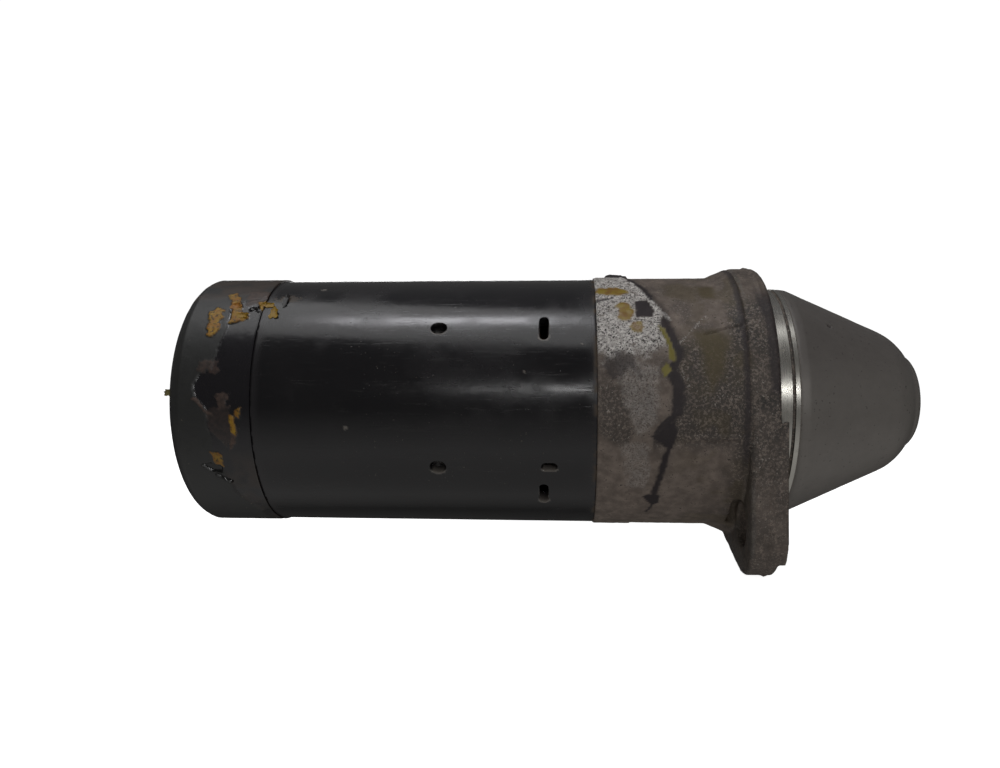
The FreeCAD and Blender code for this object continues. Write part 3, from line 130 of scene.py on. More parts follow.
class Skin:
    """The points of a mesh in cylinder terms about the motor axis, with masks painted on them.

    x is the place along the axis in millimetres, and turn is the angle in degrees from the -Y
    side of the motor, growing upwards. Seeds number the noise, so that every mask is repeatable.
    """

    def __init__(self, points):
        self.points = points
        self.x = points[:, 0] / MM
        self.radius = np.hypot(points[:, 1], points[:, 2]) / MM
        self.turn = np.degrees(np.arctan2(points[:, 2], -points[:, 1]))
        self.drift_x, self.drift_run = (
            2.6 * (self.noise(3.4, 3, seed) - 0.5) + 1.3 * (self.noise(1.1, 2, seed + 1) - 0.5)
            for seed in (201, 203))

    def noise(self, cell, octaves=3, seed=0):
        return fractal(self.points, cell * MM, octaves, seed)

    def offset(self, x, turn):
        """How far each point is from a place, along the axis and round it, in millimetres."""
        around = (self.turn - turn + 180) % 360 - 180
        return self.x - x, np.radians(around) * RUN_R

    def spread(self, near, values):
        """A mask that is zero everywhere but at the near points."""
        mask = np.zeros(len(self.points))
        mask[near] = values
        return mask

    def spot(self, x, turn, half_x, half_run, rough=0.35, tilt=0, seed=0, soft=0.25):
        """An uneven oval patch: 1 inside, 0 outside."""
        size = min(half_x, half_run)
        loose = min(1, size / 2)
        dx, dr = self.offset(x, turn)
        near = np.hypot(dx, dr) < 2.2 * max(half_x, half_run) + 3
        dx = dx[near] + self.drift_x[near] * loose
        dr = dr[near] + self.drift_run[near] * loose
        lean = math.radians(tilt)
        along = (dx * math.cos(lean) + dr * math.sin(lean)) / half_x
        across = (-dx * math.sin(lean) + dr * math.cos(lean)) / half_run
        reach = np.hypot(along, across)
        wobble = (fractal(self.points[near], max(size * 0.8, 0.7) * MM, 3, seed) - 0.5) * 2.6 * rough
        return self.spread(near, ease(soft / 2, -soft / 2, reach + wobble - 1))

    def stroke(self, start, end, half_width, rough=0.4, seed=0, soft=0.4):
        """A narrow streak between two (x, turn) points."""
        span = np.array([end[0] - start[0], math.radians(end[1] - start[1]) * RUN_R])
        dx, dr = self.offset(*start)
        near = np.hypot(dx, dr) < np.linalg.norm(span) + 4
        here = np.stack([dx[near] + 0.6 * self.drift_x[near], dr[near] + 0.6 * self.drift_run[near]], 1)
        t = np.clip((here @ span) / (span @ span), 0, 1)
        away = np.linalg.norm(here - t[:, None] * span, axis=1) / half_width
        wobble = (fractal(self.points[near], half_width * 2 * MM, 2, seed) - 0.5) * 2 * rough
        return self.spread(near, ease(soft, -soft, away + wobble - 1))

    def patch(self, corners, soft=0.5, loose=0.7):
        """An uneven patch inside a closed outline of (x, turn) corners."""
        centre = np.mean(np.array(corners), axis=0)
        dx, dr = self.offset(*centre)
        outline = np.array([(x - centre[0], math.radians(turn - centre[1]) * RUN_R) for x, turn in corners])
        near = np.hypot(dx, dr) < np.linalg.norm(outline, axis=1).max() + 4
        here = np.stack([dx[near] + loose * self.drift_x[near], dr[near] + loose * self.drift_run[near]], 1)
        inside = np.zeros(len(here), bool)
        away = np.full(len(here), 1e9)
        for a, b in zip(outline, np.roll(outline, -1, axis=0)):
            span = b - a
            t = np.clip(((here - a) @ span) / (span @ span), 0, 1)
            away = np.minimum(away, np.linalg.norm(here - a - t[:, None] * span, axis=1))
            crosses = (a[1] > here[:, 1]) != (b[1] > here[:, 1])
            rise = b[1] - a[1] if abs(b[1] - a[1]) > 1e-9 else 1e-9
            inside ^= crosses & (here[:, 0] < span[0] * (here[:, 1] - a[1]) / rise + a[0])
        return self.spread(near, ease(soft / 2, -soft / 2, np.where(inside, -away, away)))

    def lip_highlight(self, x, turn, length, width):
        """A painted highlight: a light band along the lower edge of a slot."""
        dx, dr = self.offset(x, turn)
        half = min(length, width) / 2
        past_x = np.maximum(abs(dx) - (length / 2 - half), 0)
        past_run = np.maximum(abs(dr) - (width / 2 - half), 0)
        away = np.hypot(past_x, past_run) - half
        return ease(0.50, 0.25, abs(away - 0.2)) * ease(-0.2 * width, -0.45 * width, dr)

    def beyond(self, border, rough=1.6, cell=4, seed=0, soft=0.5):
        """1 past a border line, which is given as (turn, x) pairs all the way round."""
        turns, places = zip(*border)
        edge = np.interp(self.turn, turns, places)
        edge = edge + rough * 2 * (self.noise(cell, 4, seed) - 0.5) + 0.35 * self.drift_x
        return ease(-soft / 2, soft / 2, self.x - edge)


def over(*masks):
    """The highest of several masks."""
    return np.clip(np.max(np.stack(masks), axis=0), 0, 1)


# ---------------- mesh helpers
def new_object(name, mesh, body):
    """An object that rides on a body."""
    obj = bpy.data.objects.new(name, mesh)
    scene.collection.objects.link(obj)
    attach(obj, body)
    return obj


def vertex_vectors(mesh, kind):
    """The co or the normal of every vertex as rows of an array."""
    flat = np.empty(len(mesh.vertices) * 3)
    mesh.vertices.foreach_get(kind, flat)
    return flat.reshape(-1, 3)


def mesh_from(box, name):
    """A new mesh from a bmesh, which is used up."""
    mesh = bpy.data.meshes.new(name)
    box.to_mesh(mesh)
    box.free()
    return mesh


def apply_modifiers(obj):
    """Replace the mesh by the mesh that its modifiers make."""
    shaped = bpy.data.meshes.new_from_object(obj.evaluated_get(bpy.context.evaluated_depsgraph_get()))
    obj.modifiers.clear()
    obj.data = shaped


def paint_over(obj, material, angle=180):
    """One material for the whole object, and smooth shading over edges blunter than the angle."""
    obj.data.materials.clear()
    obj.data.materials.append(material)
    for polygon in obj.data.polygons:
        polygon.use_smooth = True
    if angle < 180:
        obj.data.set_sharp_from_angle(angle=math.radians(angle))


def store_marks(mesh, name, channels):
    """Four masks as one colour attribute that a material can read."""
    layer = mesh.attributes.new(name, "FLOAT_COLOR", "POINT")
    layer.data.foreach_set("color", np.clip(np.stack(channels, 1), 0, 1).astype(np.float32).ravel())


def run_line(start, end, step):
    """Points from start up to, but not including, end."""
    count = max(1, int(math.dist(start, end) / step))
    return [(start[0] + (end[0] - start[0]) * i / count, start[1] + (end[1] - start[1]) * i / count)
            for i in range(count)]


def cut(obj, cutters):
    """Subtract the cutter meshes from the object and apply the result."""
    for cutter in cutters:
        modifier = obj.modifiers.new("cut", "BOOLEAN")
        modifier.operation = "DIFFERENCE"
        modifier.solver = "EXACT"
        modifier.object = cutter
    apply_modifiers(obj)
    for cutter in cutters:
        bpy.data.objects.remove(cutter)


def joined_cutter(name, meshes):
    """One cutter object from several meshes that do not touch each other."""
    box = bmesh.new()
    for mesh in meshes:
        box.from_mesh(mesh)
    bmesh.ops.recalc_face_normals(box, faces=box.faces)
    obj = bpy.data.objects.new(name, mesh_from(box, name))
    scene.collection.objects.link(obj)
    return obj


def stadium(length, width, grow, count=10):
    """The outline of a round-ended slot, in its own plane."""
    radius = min(length, width) / 2
    run = abs(length - width) / 2
    points = []
    for side in (0, 1):
        for i in range(count + 1):
            angle = math.pi * (i / count + side) - math.pi / 2
            along = (radius + grow) * math.cos(angle) + (run if side == 0 else -run)
            across = (radius + grow) * math.sin(angle)
            points.append((along, across) if length >= width else (across, along))
    return points


def bridge(box, low, high):
    """Faces between two closed rings of vertices."""
    for i in range(len(low)):
        j = (i + 1) % len(low)
        box.faces.new((low[i], low[j], high[j], high[i]))


def radial_cutter(x, turn, length, width, outer, depth, flare=0.35 * MM):
    """A slot-shaped cutter that points at the motor axis, with a small flare at the surface."""
    levels = ((outer - depth, 0), (outer - flare, 0), (outer, flare), (outer + 2 * MM, flare * 3))
    box = bmesh.new()
    rings = [[box.verts.new((x + a, -height, b)) for a, b in stadium(length, width, grow)]
             for height, grow in levels]
    for low, high in zip(rings, rings[1:]):
        bridge(box, low, high)
    box.faces.new(rings[0])
    box.faces.new(rings[-1])
    bmesh.ops.rotate(box, verts=box.verts, matrix=Matrix.Rotation(-math.radians(turn), 3, "X"))
    return mesh_from(box, "slot_cutter")


def bore_cutter(x0, x1, radius, y, z, count=40):
    """A plain cylinder along X as a cutter."""
    box = bmesh.new()
    bmesh.ops.create_cone(box, cap_ends=True, segments=count, radius1=radius, radius2=radius, depth=x1 - x0)
    bmesh.ops.rotate(box, verts=box.verts, matrix=Matrix.Rotation(math.pi / 2, 3, "Y"))
    bmesh.ops.translate(box, verts=box.verts, vec=((x0 + x1) / 2, y, z))
    return mesh_from(box, "bore_cutter")


# ---------------- material helpers
def add_node(tree, kind, inputs=(), **settings):
    """A new node; each of its inputs is given a socket to be linked to, or a plain value."""
    node = tree.nodes.new(kind)
    for name, value in settings.items():
        setattr(node, name, value)
    for name, value in dict(inputs).items():
        socket = node.inputs[name]
        if isinstance(value, bpy.types.NodeSocket):
            tree.links.new(value, socket)
        elif socket.type == "RGBA" and len(value) == 3:
            socket.default_value = (*value, 1)
        else:
            socket.default_value = value
    return node


class Paint:
    """A short way to write a node material."""

    def __init__(self, name):
        self.material = bpy.data.materials.new(name)
        self.material.use_nodes = True
        self.tree = self.material.node_tree
        self.tree.nodes.clear()
        self.place = self.node("ShaderNodeTexCoord").outputs["Object"]

    def node(self, kind, inputs=(), **settings):
        return add_node(self.tree, kind, inputs, **settings)

    def math(self, operation, first, second):
        return self.node("ShaderNodeMath", {0: first, 1: second}, operation=operation).outputs[0]

    def times(self, first, second):
        return self.math("MULTIPLY", first, second)

    def plus(self, first, second):
        return self.math("ADD", first, second)

    def vector(self, stretch):
        """Object coordinates, scaled along each axis where a stretch is given."""
        if stretch is None:
            return self.place
        return self.node("ShaderNodeMapping", {"Vector": self.place, "Scale": stretch}).outputs[0]

    def noise(self, size, detail=4, rough=0.55, stretch=None, warp=0):
        """Noise with features of about this size in millimetres."""
        inputs = {"Vector": self.vector(stretch), "Scale": 1000 / size, "Detail": detail,
                  "Roughness": rough, "Distortion": warp}
        return self.node("ShaderNodeTexNoise", inputs).outputs["Fac"]

    def cells(self, size, stretch):
        """Distance from the middles of cells of about this size in millimetres."""
        inputs = {"Vector": self.vector(stretch), "Scale": 1000 / size}
        return self.node("ShaderNodeTexVoronoi", inputs).outputs["Distance"]

    def band(self, value, low, high):
        """0 below low, 1 above high, smooth between them."""
        return self.node("ShaderNodeMapRange", {"Value": value, "From Min": low, "From Max": high},
                         interpolation_type="SMOOTHSTEP").outputs[0]

    def mix(self, share, first, second):
        """A colour between two colours."""
        return self.node("ShaderNodeMix", {0: share, 6: first, 7: second}, data_type="RGBA").outputs[2]

    def blend(self, share, first, second):
        """A number between two numbers."""
        return self.node("ShaderNodeMix", {0: share, 2: first, 3: second}, data_type="FLOAT").outputs[0]

    def layers(self, color, *pairs):
        """Colours laid over each other, each by its own share."""
        for share, tint in pairs:
            color = self.mix(share, color, tint)
        return color

    def tones(self, value, *pairs):
        """Numbers that take over from each other, each by its own share."""
        for share, target in pairs:
            value = self.blend(share, value, target)
        return value

    def marks(self, name):
        """The four masks that were painted on the mesh."""
        masks = self.node("ShaderNodeAttribute", attribute_name=name)
        parts = self.node("ShaderNodeSeparateColor", {0: masks.outputs["Color"]})
        return [*parts.outputs[:3], masks.outputs["Alpha"]]

    def bump(self, height, distance, strength=1, below=None):
        """Surface relief; distance is the height of the relief in millimetres."""
        inputs = {"Height": height, "Distance": distance * MM, "Strength": strength}
        if below is not None:
            inputs["Normal"] = below
        return self.node("ShaderNodeBump", inputs).outputs[0]

    def finish(self, color, roughness, metallic=0, normal=None, gloss=0.5, **more):
        """The material, with its shader; more names other sockets by words joined with _."""
        inputs = {
            "Base Color": color, "Roughness": roughness, "Metallic": metallic, "Specular IOR Level": gloss}
        if normal is not None:
            inputs["Normal"] = normal
        inputs.update((name.replace("_", " "), value) for name, value in more.items())
        shader = self.node("ShaderNodeBsdfPrincipled", inputs)
        self.node("ShaderNodeOutputMaterial", {0: shader.outputs[0]})
        return self.material


# ---------------- materials of the three big shells
def yoke_paint():
    """Gloss black enamel with fine scratches along and round the tube, dust, dull patches, chips and
    painted highlights along the lower edges of the slots.
    """
    p = Paint("worn_black_enamel")
    dull, chips_and_highlights, dust, residue = p.marks("marks")
    haze = p.noise(18, 3, 0.5)
    along = p.band(p.noise(0.5, 3, 0.6, (0.03, 1, 1)), 0.60, 0.72)
    faint = p.band(p.noise(1.6, 4, 0.65, (0.12, 1, 1), 0.6), 0.58, 0.70)
    specks = p.band(p.noise(0.7, 1, 0.4), 0.735, 0.78)
    color = p.layers(
        p.mix(haze, (0.006, 0.006, 0.008), (0.012, 0.011, 0.012)),
        (p.times(faint, 0.25), (0.030, 0.027, 0.026)),
        (p.times(specks, p.times(dust, 0.6)), (0.10, 0.088, 0.07)),
        (p.times(dull, 0.5), (0.020, 0.018, 0.020)),
        # The light chip colour also paints the highlights along the lower edges of the slots.
        (residue, (0.055, 0.036, 0.020)), (chips_and_highlights, (0.15, 0.135, 0.12)))
    roughness = p.blend(haze, 0.13, 0.21)
    for share, rise in ((dull, 0.16), (faint, 0.10), (residue, 0.22)):
        roughness = p.plus(roughness, p.times(share, rise))
    peel = p.bump(p.noise(2.2, 3, 0.6), 0.022)
    relief = p.math("SUBTRACT", p.times(specks, 0.6), p.times(along, 0.5))
    normal = p.bump(relief, 0.020, 1, peel)
    return p.finish(color, roughness, 0, normal)


def cap_paint():
    """Thick satin skin, torn off in places down to gloss black, brown adhesive and amber varnish."""
    p = Paint("flaking_cap_paint")
    amber, brown, slit, tan = p.marks("marks")
    film, dust, _, _ = p.marks("more_marks")
    haze = p.noise(9, 4, 0.6)
    grain = p.noise(0.7, 4, 0.7)
    specks = p.band(p.noise(0.9, 2, 0.5), 0.68, 0.75)
    gloss = p.mix(haze, (0.007, 0.007, 0.009), (0.015, 0.013, 0.016))
    satin = p.mix(haze, (0.015, 0.0155, 0.015), (0.024, 0.0245, 0.0235))
    worn = p.band(p.noise(3.5, 4, 0.6, None, 0.8), 0.55, 0.68)
    satin = p.mix(p.times(worn, 0.4), satin, (0.012, 0.012, 0.012))
    mud = p.mix(p.noise(3, 4, 0.6), (0.028, 0.020, 0.014), (0.062, 0.043, 0.032))
    glue = p.mix(p.band(p.noise(1.2, 4, 0.65), 0.35, 0.65), (0.040, 0.024, 0.018), (0.088, 0.054, 0.040))
    honey = p.mix(p.band(p.noise(1.6, 4, 0.65), 0.35, 0.65), (0.27, 0.115, 0.006), (0.36, 0.21, 0.008))
    honey = p.mix(p.band(p.noise(0.8, 3, 0.6), 0.52, 0.64), honey, (0.070, 0.040, 0.006))
    color = p.layers(gloss, (film, satin), (p.times(specks, p.plus(dust, 0.15)), (0.08, 0.07, 0.055)),
                     (tan, mud), (brown, glue), (amber, honey), (slit, (0.003, 0.003, 0.003)))
    roughness = p.tones(p.blend(haze, 0.16, 0.26), (film, p.blend(haze, 0.40, 0.55)),
                        (p.math("MAXIMUM", amber, brown), 0.58), (tan, 0.50), (slit, 0.12))
    height = p.plus(p.times(grain, p.blend(film, 0.10, 0.5)), p.times(haze, 0.6))
    height = p.plus(height, p.times(grain, amber))
    normal = p.bump(height, 0.05, 0.8)
    return p.finish(color, roughness, 0, normal)


def casting_metal():
    """Grimy cast aluminium: white corrosion, wax, oil stains, soot specks, a clean nose, and purple stains
    that also carry painted shade.
    """
    p = Paint("weathered_casting")
    # The stain mask holds real stains and painted shade: the darkened top of the nose, the flange root
    # groove and a shadow along the flange's front edge.
    bloom, wax, stain, soot = p.marks("marks")
    clean, warm, edge, streak = p.marks("more_marks")
    fine = p.noise(0.55, 3, 0.75)
    coarse = p.noise(3.2, 5, 0.65)
    broad = p.noise(16, 3, 0.5)
    specks = p.band(p.noise(0.62, 2, 0.6), 0.50, 0.60)
    dark_specks = p.band(p.noise(0.55, 3, 0.75), 0.50, 0.60)
    rare_specks = p.band(p.noise(1, 1, 0.5), 0.70, 0.75)

    pits = p.band(p.noise(0.75, 3, 0.7, None, 0.4), 0.60, 0.66)
    bare = p.layers(
        p.mix(p.band(coarse, 0.25, 0.75), (0.105, 0.083, 0.068), (0.290, 0.238, 0.200)),
        (p.times(broad, 0.5), (0.165, 0.128, 0.104)),
        (p.times(pits, p.band(coarse, 0.40, 0.60)), (0.035, 0.028, 0.024)))
    nose = p.layers(
        p.mix(coarse, (0.175, 0.162, 0.148), (0.225, 0.208, 0.190)),
        (p.times(p.noise(6, 4, 0.6), 0.35), (0.130, 0.119, 0.108)),
        (p.times(rare_specks, 0.55), (0.05, 0.045, 0.04)))
    grime = p.mix(fine, (0.010, 0.008, 0.007), (0.060, 0.050, 0.042))
    oil = p.mix(coarse, (0.060, 0.044, 0.017), (0.115, 0.088, 0.034))
    powder = p.mix(p.band(p.noise(1.2, 4, 0.7), 0.3, 0.7), (0.36, 0.33, 0.31), (0.80, 0.77, 0.73))
    powder = p.mix(p.times(dark_specks, p.band(coarse, 0.25, 0.5)), powder, (0.040, 0.035, 0.032))
    purple_stain_and_shade = p.mix(coarse, (0.014, 0.010, 0.012), (0.034, 0.024, 0.025))
    primer = p.mix(coarse, (0.16, 0.14, 0.020), (0.26, 0.22, 0.060))
    resin = p.mix(p.band(p.noise(3, 3, 0.5), 0.35, 0.65), (0.20, 0.095, 0.004), (0.26, 0.18, 0.006))
    color = p.layers(
        bare, (clean, nose),
        (p.times(p.band(p.noise(0.8, 3, 0.75), 0.41, 0.50), soot), grime),
        (p.times(soot, p.band(p.noise(0.7, 2, 0.7), 0.64, 0.70)), (0.38, 0.34, 0.30)),
        (p.times(warm, 0.8), oil), (bloom, powder), (p.times(streak, specks), (0.36, 0.33, 0.30)),
        (stain, purple_stain_and_shade), (edge, primer), (wax, resin))
    roughness = p.tones(
        p.blend(coarse, 0.50, 0.70), (clean, 0.46), (bloom, 0.85), (wax, 0.42), (stain, 0.62))
    shine = p.math("SUBTRACT", 0.35, p.times(p.math("MAXIMUM", soot, bloom), 0.35))
    metal = p.times(p.blend(clean, shine, 0.25), p.math("SUBTRACT", 1, wax))
    height = p.plus(p.times(fine, p.blend(clean, 0.8, 0.25)), p.times(coarse, 0.5))
    height = p.plus(height, p.times(p.times(dark_specks, bloom), -0.8))
    normal = p.bump(height, 0.16, p.blend(wax, 0.8, 0.1))
    return p.finish(color, roughness, metal, normal)


def machined_metal():
    """Turned aluminium with fine rings, a little oil and oxide."""
    p = Paint("turned_aluminium")
    rings = p.noise(0.22, 2, 0.5, (1, 0.02, 0.02))
    cloud = p.noise(7, 4, 0.6)
    stain = p.band(p.noise(4, 4, 0.65), 0.55, 0.72)
    color = p.mix(cloud, (0.55, 0.54, 0.50), (0.42, 0.40, 0.36))
    color = p.mix(p.times(stain, 0.6), color, (0.16, 0.13, 0.10))
    roughness = p.blend(rings, 0.20, 0.34)
    roughness = p.plus(roughness, p.times(stain, 0.2))
    return p.finish(color, roughness, 1, p.bump(rings, 0.012, 0.6))


# ---------------- materials of the other pieces
def worn_metal(name, light, dark, film, rough, relief, scale, metallic=1, brush=None):
    """A bare or plated metal with cloudy tarnish, fine brushing and a thin film of dirt."""
    p = Paint(name)
    cloud = p.noise(scale, 4, 0.6)
    lines = p.noise(0.35, 3, 0.6, brush)
    dirt = p.band(p.noise(scale * 0.8, 5, 0.7, None, 0.5), 0.54, 0.72)
    color = p.mix(cloud, dark, light)
    color = p.mix(p.times(dirt, 0.7), color, film)
    roughness = p.blend(lines, *rough)
    roughness = p.plus(roughness, p.times(dirt, 0.18))
    normal = p.bump(p.plus(lines, p.times(dirt, 0.6)), relief, 0.8)
    return p.finish(color, roughness, p.blend(dirt, metallic, metallic * 0.5), normal)


def grained(name, light, dark, grain, rough, relief, speck=(0.2, 0.2, 0.2), gloss=0.5):
    """A non-metal with fine grain, cloudiness and a few light specks."""
    p = Paint(name)
    fine = p.noise(grain, 4, 0.7)
    cloud = p.noise(grain * 12, 3, 0.5)
    specks = p.band(p.noise(grain * 1.6, 1, 0.5), 0.70, 0.76)
    color = p.mix(cloud, dark, light)
    color = p.mix(p.times(specks, 0.6), color, speck)
    return p.finish(color, p.blend(fine, *rough), 0, p.bump(fine, relief, 0.8), gloss=gloss)


def laminated_steel():
    """Thin sheets seen at their edges, with a little rust."""
    p = Paint("laminated_core")
    sheet = p.noise(0.5, 1, 0.4, (1, 0.01, 0.01))
    cloud = p.noise(6, 4, 0.6)
    rust = p.band(p.noise(3, 4, 0.7), 0.58, 0.70)
    color = p.mix(sheet, (0.10, 0.10, 0.105), (0.26, 0.255, 0.25))
    color = p.mix(p.times(cloud, 0.4), color, (0.12, 0.10, 0.09))
    color = p.mix(p.times(rust, 0.7), color, (0.14, 0.055, 0.025))
    return p.finish(color, p.blend(sheet, 0.35, 0.55), 0.85, p.bump(sheet, 0.05, 0.9))


def braided_sleeve():
    """Woven, oily fibre."""
    p = Paint("braided_lead_sleeve")
    weave = p.cells(0.9, (0.55, 1, 1))
    cross = p.noise(1.1, 2, 0.5, (1, 0.6, 1.4))
    cloud = p.noise(7, 3, 0.6)
    color = p.mix(weave, (0.13, 0.10, 0.07), (0.045, 0.036, 0.028))
    color = p.mix(p.times(cloud, 0.5), color, (0.030, 0.026, 0.024))
    height = p.plus(p.times(weave, -1), p.times(cross, 0.4))
    return p.finish(color, 0.82, 0, p.bump(height, 0.25, 0.9))


def slot_materials():
    """A material for every slot in the record."""
    return {
        "plated_steel": worn_metal(
            "zinc_plate", (0.50, 0.49, 0.45), (0.34, 0.335, 0.31), (0.20, 0.17, 0.13),
            (0.28, 0.46), 0.015, 4),
        "dark_steel": worn_metal(
            "oiled_steel", (0.27, 0.27, 0.275), (0.15, 0.15, 0.155), (0.055, 0.042, 0.030),
            (0.22, 0.40), 0.012, 6, brush=(0.3, 1, 1)),
        "lamination_steel": laminated_steel(),
        "copper": worn_metal(
            "tarnished_copper", (0.68, 0.30, 0.15), (0.36, 0.14, 0.07), (0.10, 0.055, 0.035),
            (0.25, 0.42), 0.015, 3),
        "brass_sheet": worn_metal(
            "dull_brass", (0.55, 0.42, 0.18), (0.36, 0.26, 0.10), (0.12, 0.085, 0.04),
            (0.25, 0.45), 0.012, 5),
        "bronze": worn_metal(
            "sintered_bronze", (0.42, 0.27, 0.13), (0.24, 0.15, 0.07), (0.08, 0.05, 0.03),
            (0.35, 0.60), 0.04, 1.5, metallic=0.9),
        "ferrite": grained(
            "ferrite_magnet", (0.170, 0.175, 0.170), (0.095, 0.098, 0.095), 0.3, (0.5, 0.7), 0.03),
        "carbon": grained(
            "copper_graphite", (0.070, 0.055, 0.048), (0.030, 0.026, 0.025), 0.25,
            (0.45, 0.65), 0.03, (0.30, 0.15, 0.08)),
        "moulded_plastic": grained(
            "moulded_black_plastic", (0.022, 0.022, 0.023), (0.012, 0.012, 0.013), 0.35,
            (0.35, 0.50), 0.02, (0.08, 0.07, 0.06)),
        "bobbin_plastic": grained(
            "natural_nylon", (0.46, 0.40, 0.29), (0.36, 0.30, 0.20), 0.4,
            (0.40, 0.55), 0.02, (0.30, 0.22, 0.12)),
        "rubber": grained(
            "aged_rubber", (0.026, 0.025, 0.024), (0.014, 0.014, 0.014), 0.4,
            (0.60, 0.80), 0.05, (0.10, 0.09, 0.08), gloss=0.3),
        "spring_steel": worn_metal(
            "spring_steel", (0.40, 0.39, 0.37), (0.22, 0.21, 0.21), (0.10, 0.07, 0.05),
            (0.22, 0.38), 0.01, 3),
        "lead_sleeve": braided_sleeve(),
        "black_paint": yoke_paint(),
        "cap_paint": cap_paint(),
        "cast_aluminium": casting_metal(),
    }


def dress_frame(materials):
    """Give every CAD piece the material of its slot."""
    slots = {row["node"]: row["material_slot"] for row in frame["record"]["subparts"]}
    for name, obj in NODES.items():
        material = materials[slots[name]]
        if not obj.material_slots:
            obj.data.materials.append(material)
        for place in obj.material_slots:
            place.material = material


# ---------------- the rear cap
def arc_points(start, middle, end, step):
    """Points of the circular arc through three points, without the last."""
    ax, ay = start
    bx, by = middle
    cx, cy = end
    d = 2 * (ax * (by - cy) + bx * (cy - ay) + cx * (ay - by))
    ux = ((ax ** 2 + ay ** 2) * (by - cy) + (bx ** 2 + by ** 2) * (cy - ay)
        + (cx ** 2 + cy ** 2) * (ay - by)) / d
    uy = ((ax ** 2 + ay ** 2) * (cx - bx) + (bx ** 2 + by ** 2) * (ax - cx)
        + (cx ** 2 + cy ** 2) * (bx - ax)) / d
    radius = math.dist((ux, uy), start)
    a0 = math.atan2(ay - uy, ax - ux)
    a2 = math.atan2(cy - uy, cx - ux)
    sweep = (a2 - a0 + math.pi) % (2 * math.pi) - math.pi
    count = max(4, int(abs(sweep) * radius / step))
    return [(ux + radius * math.cos(a0 + sweep * i / count), uy + radius * math.sin(a0 + sweep * i / count))
            for i in range(count)]


def lathe_grid(outline, count):
    """Points and outward directions of an outline turned about the motor axis."""
    ring = np.array(outline)
    ahead, behind = np.roll(ring, -1, axis=0), np.roll(ring, 1, axis=0)
    tangent = ahead - behind
    tangent /= np.linalg.norm(tangent, axis=1)[:, None]
    normal = np.stack([-tangent[:, 1], tangent[:, 0]], 1)
    angles = np.linspace(0, 2 * math.pi, count, endpoint=False)
    points = np.empty((len(ring), count, 3))
    normals = np.empty((len(ring), count, 3))
    for target, source in ((points, ring), (normals, normal)):
        target[:, :, 0] = source[:, 0, None]
        target[:, :, 1] = source[:, 1, None] * np.cos(angles)
        target[:, :, 2] = source[:, 1, None] * np.sin(angles)
    return points, normals


def grid_mesh(name, points):
    """A closed mesh from a grid of points that wraps both ways."""
    rows, cols = points.shape[:2]
    row, col = np.meshgrid(np.arange(rows), np.arange(cols), indexing="ij")
    next_row, next_col = (row + 1) % rows, (col + 1) % cols
    faces = np.stack([row * cols + col, row * cols + next_col,
                      next_row * cols + next_col, next_row * cols + col], -1)
    mesh = bpy.data.meshes.new(name)
    mesh.from_pydata(points.reshape(-1, 3).tolist(), [], faces.reshape(-1, 4).tolist())
    box = bmesh.new()
    box.from_mesh(mesh)
    bmesh.ops.remove_doubles(box, verts=box.verts, dist=1e-6)
    bmesh.ops.recalc_face_normals(box, faces=box.faces)
    box.to_mesh(mesh)
    box.free()
    return mesh


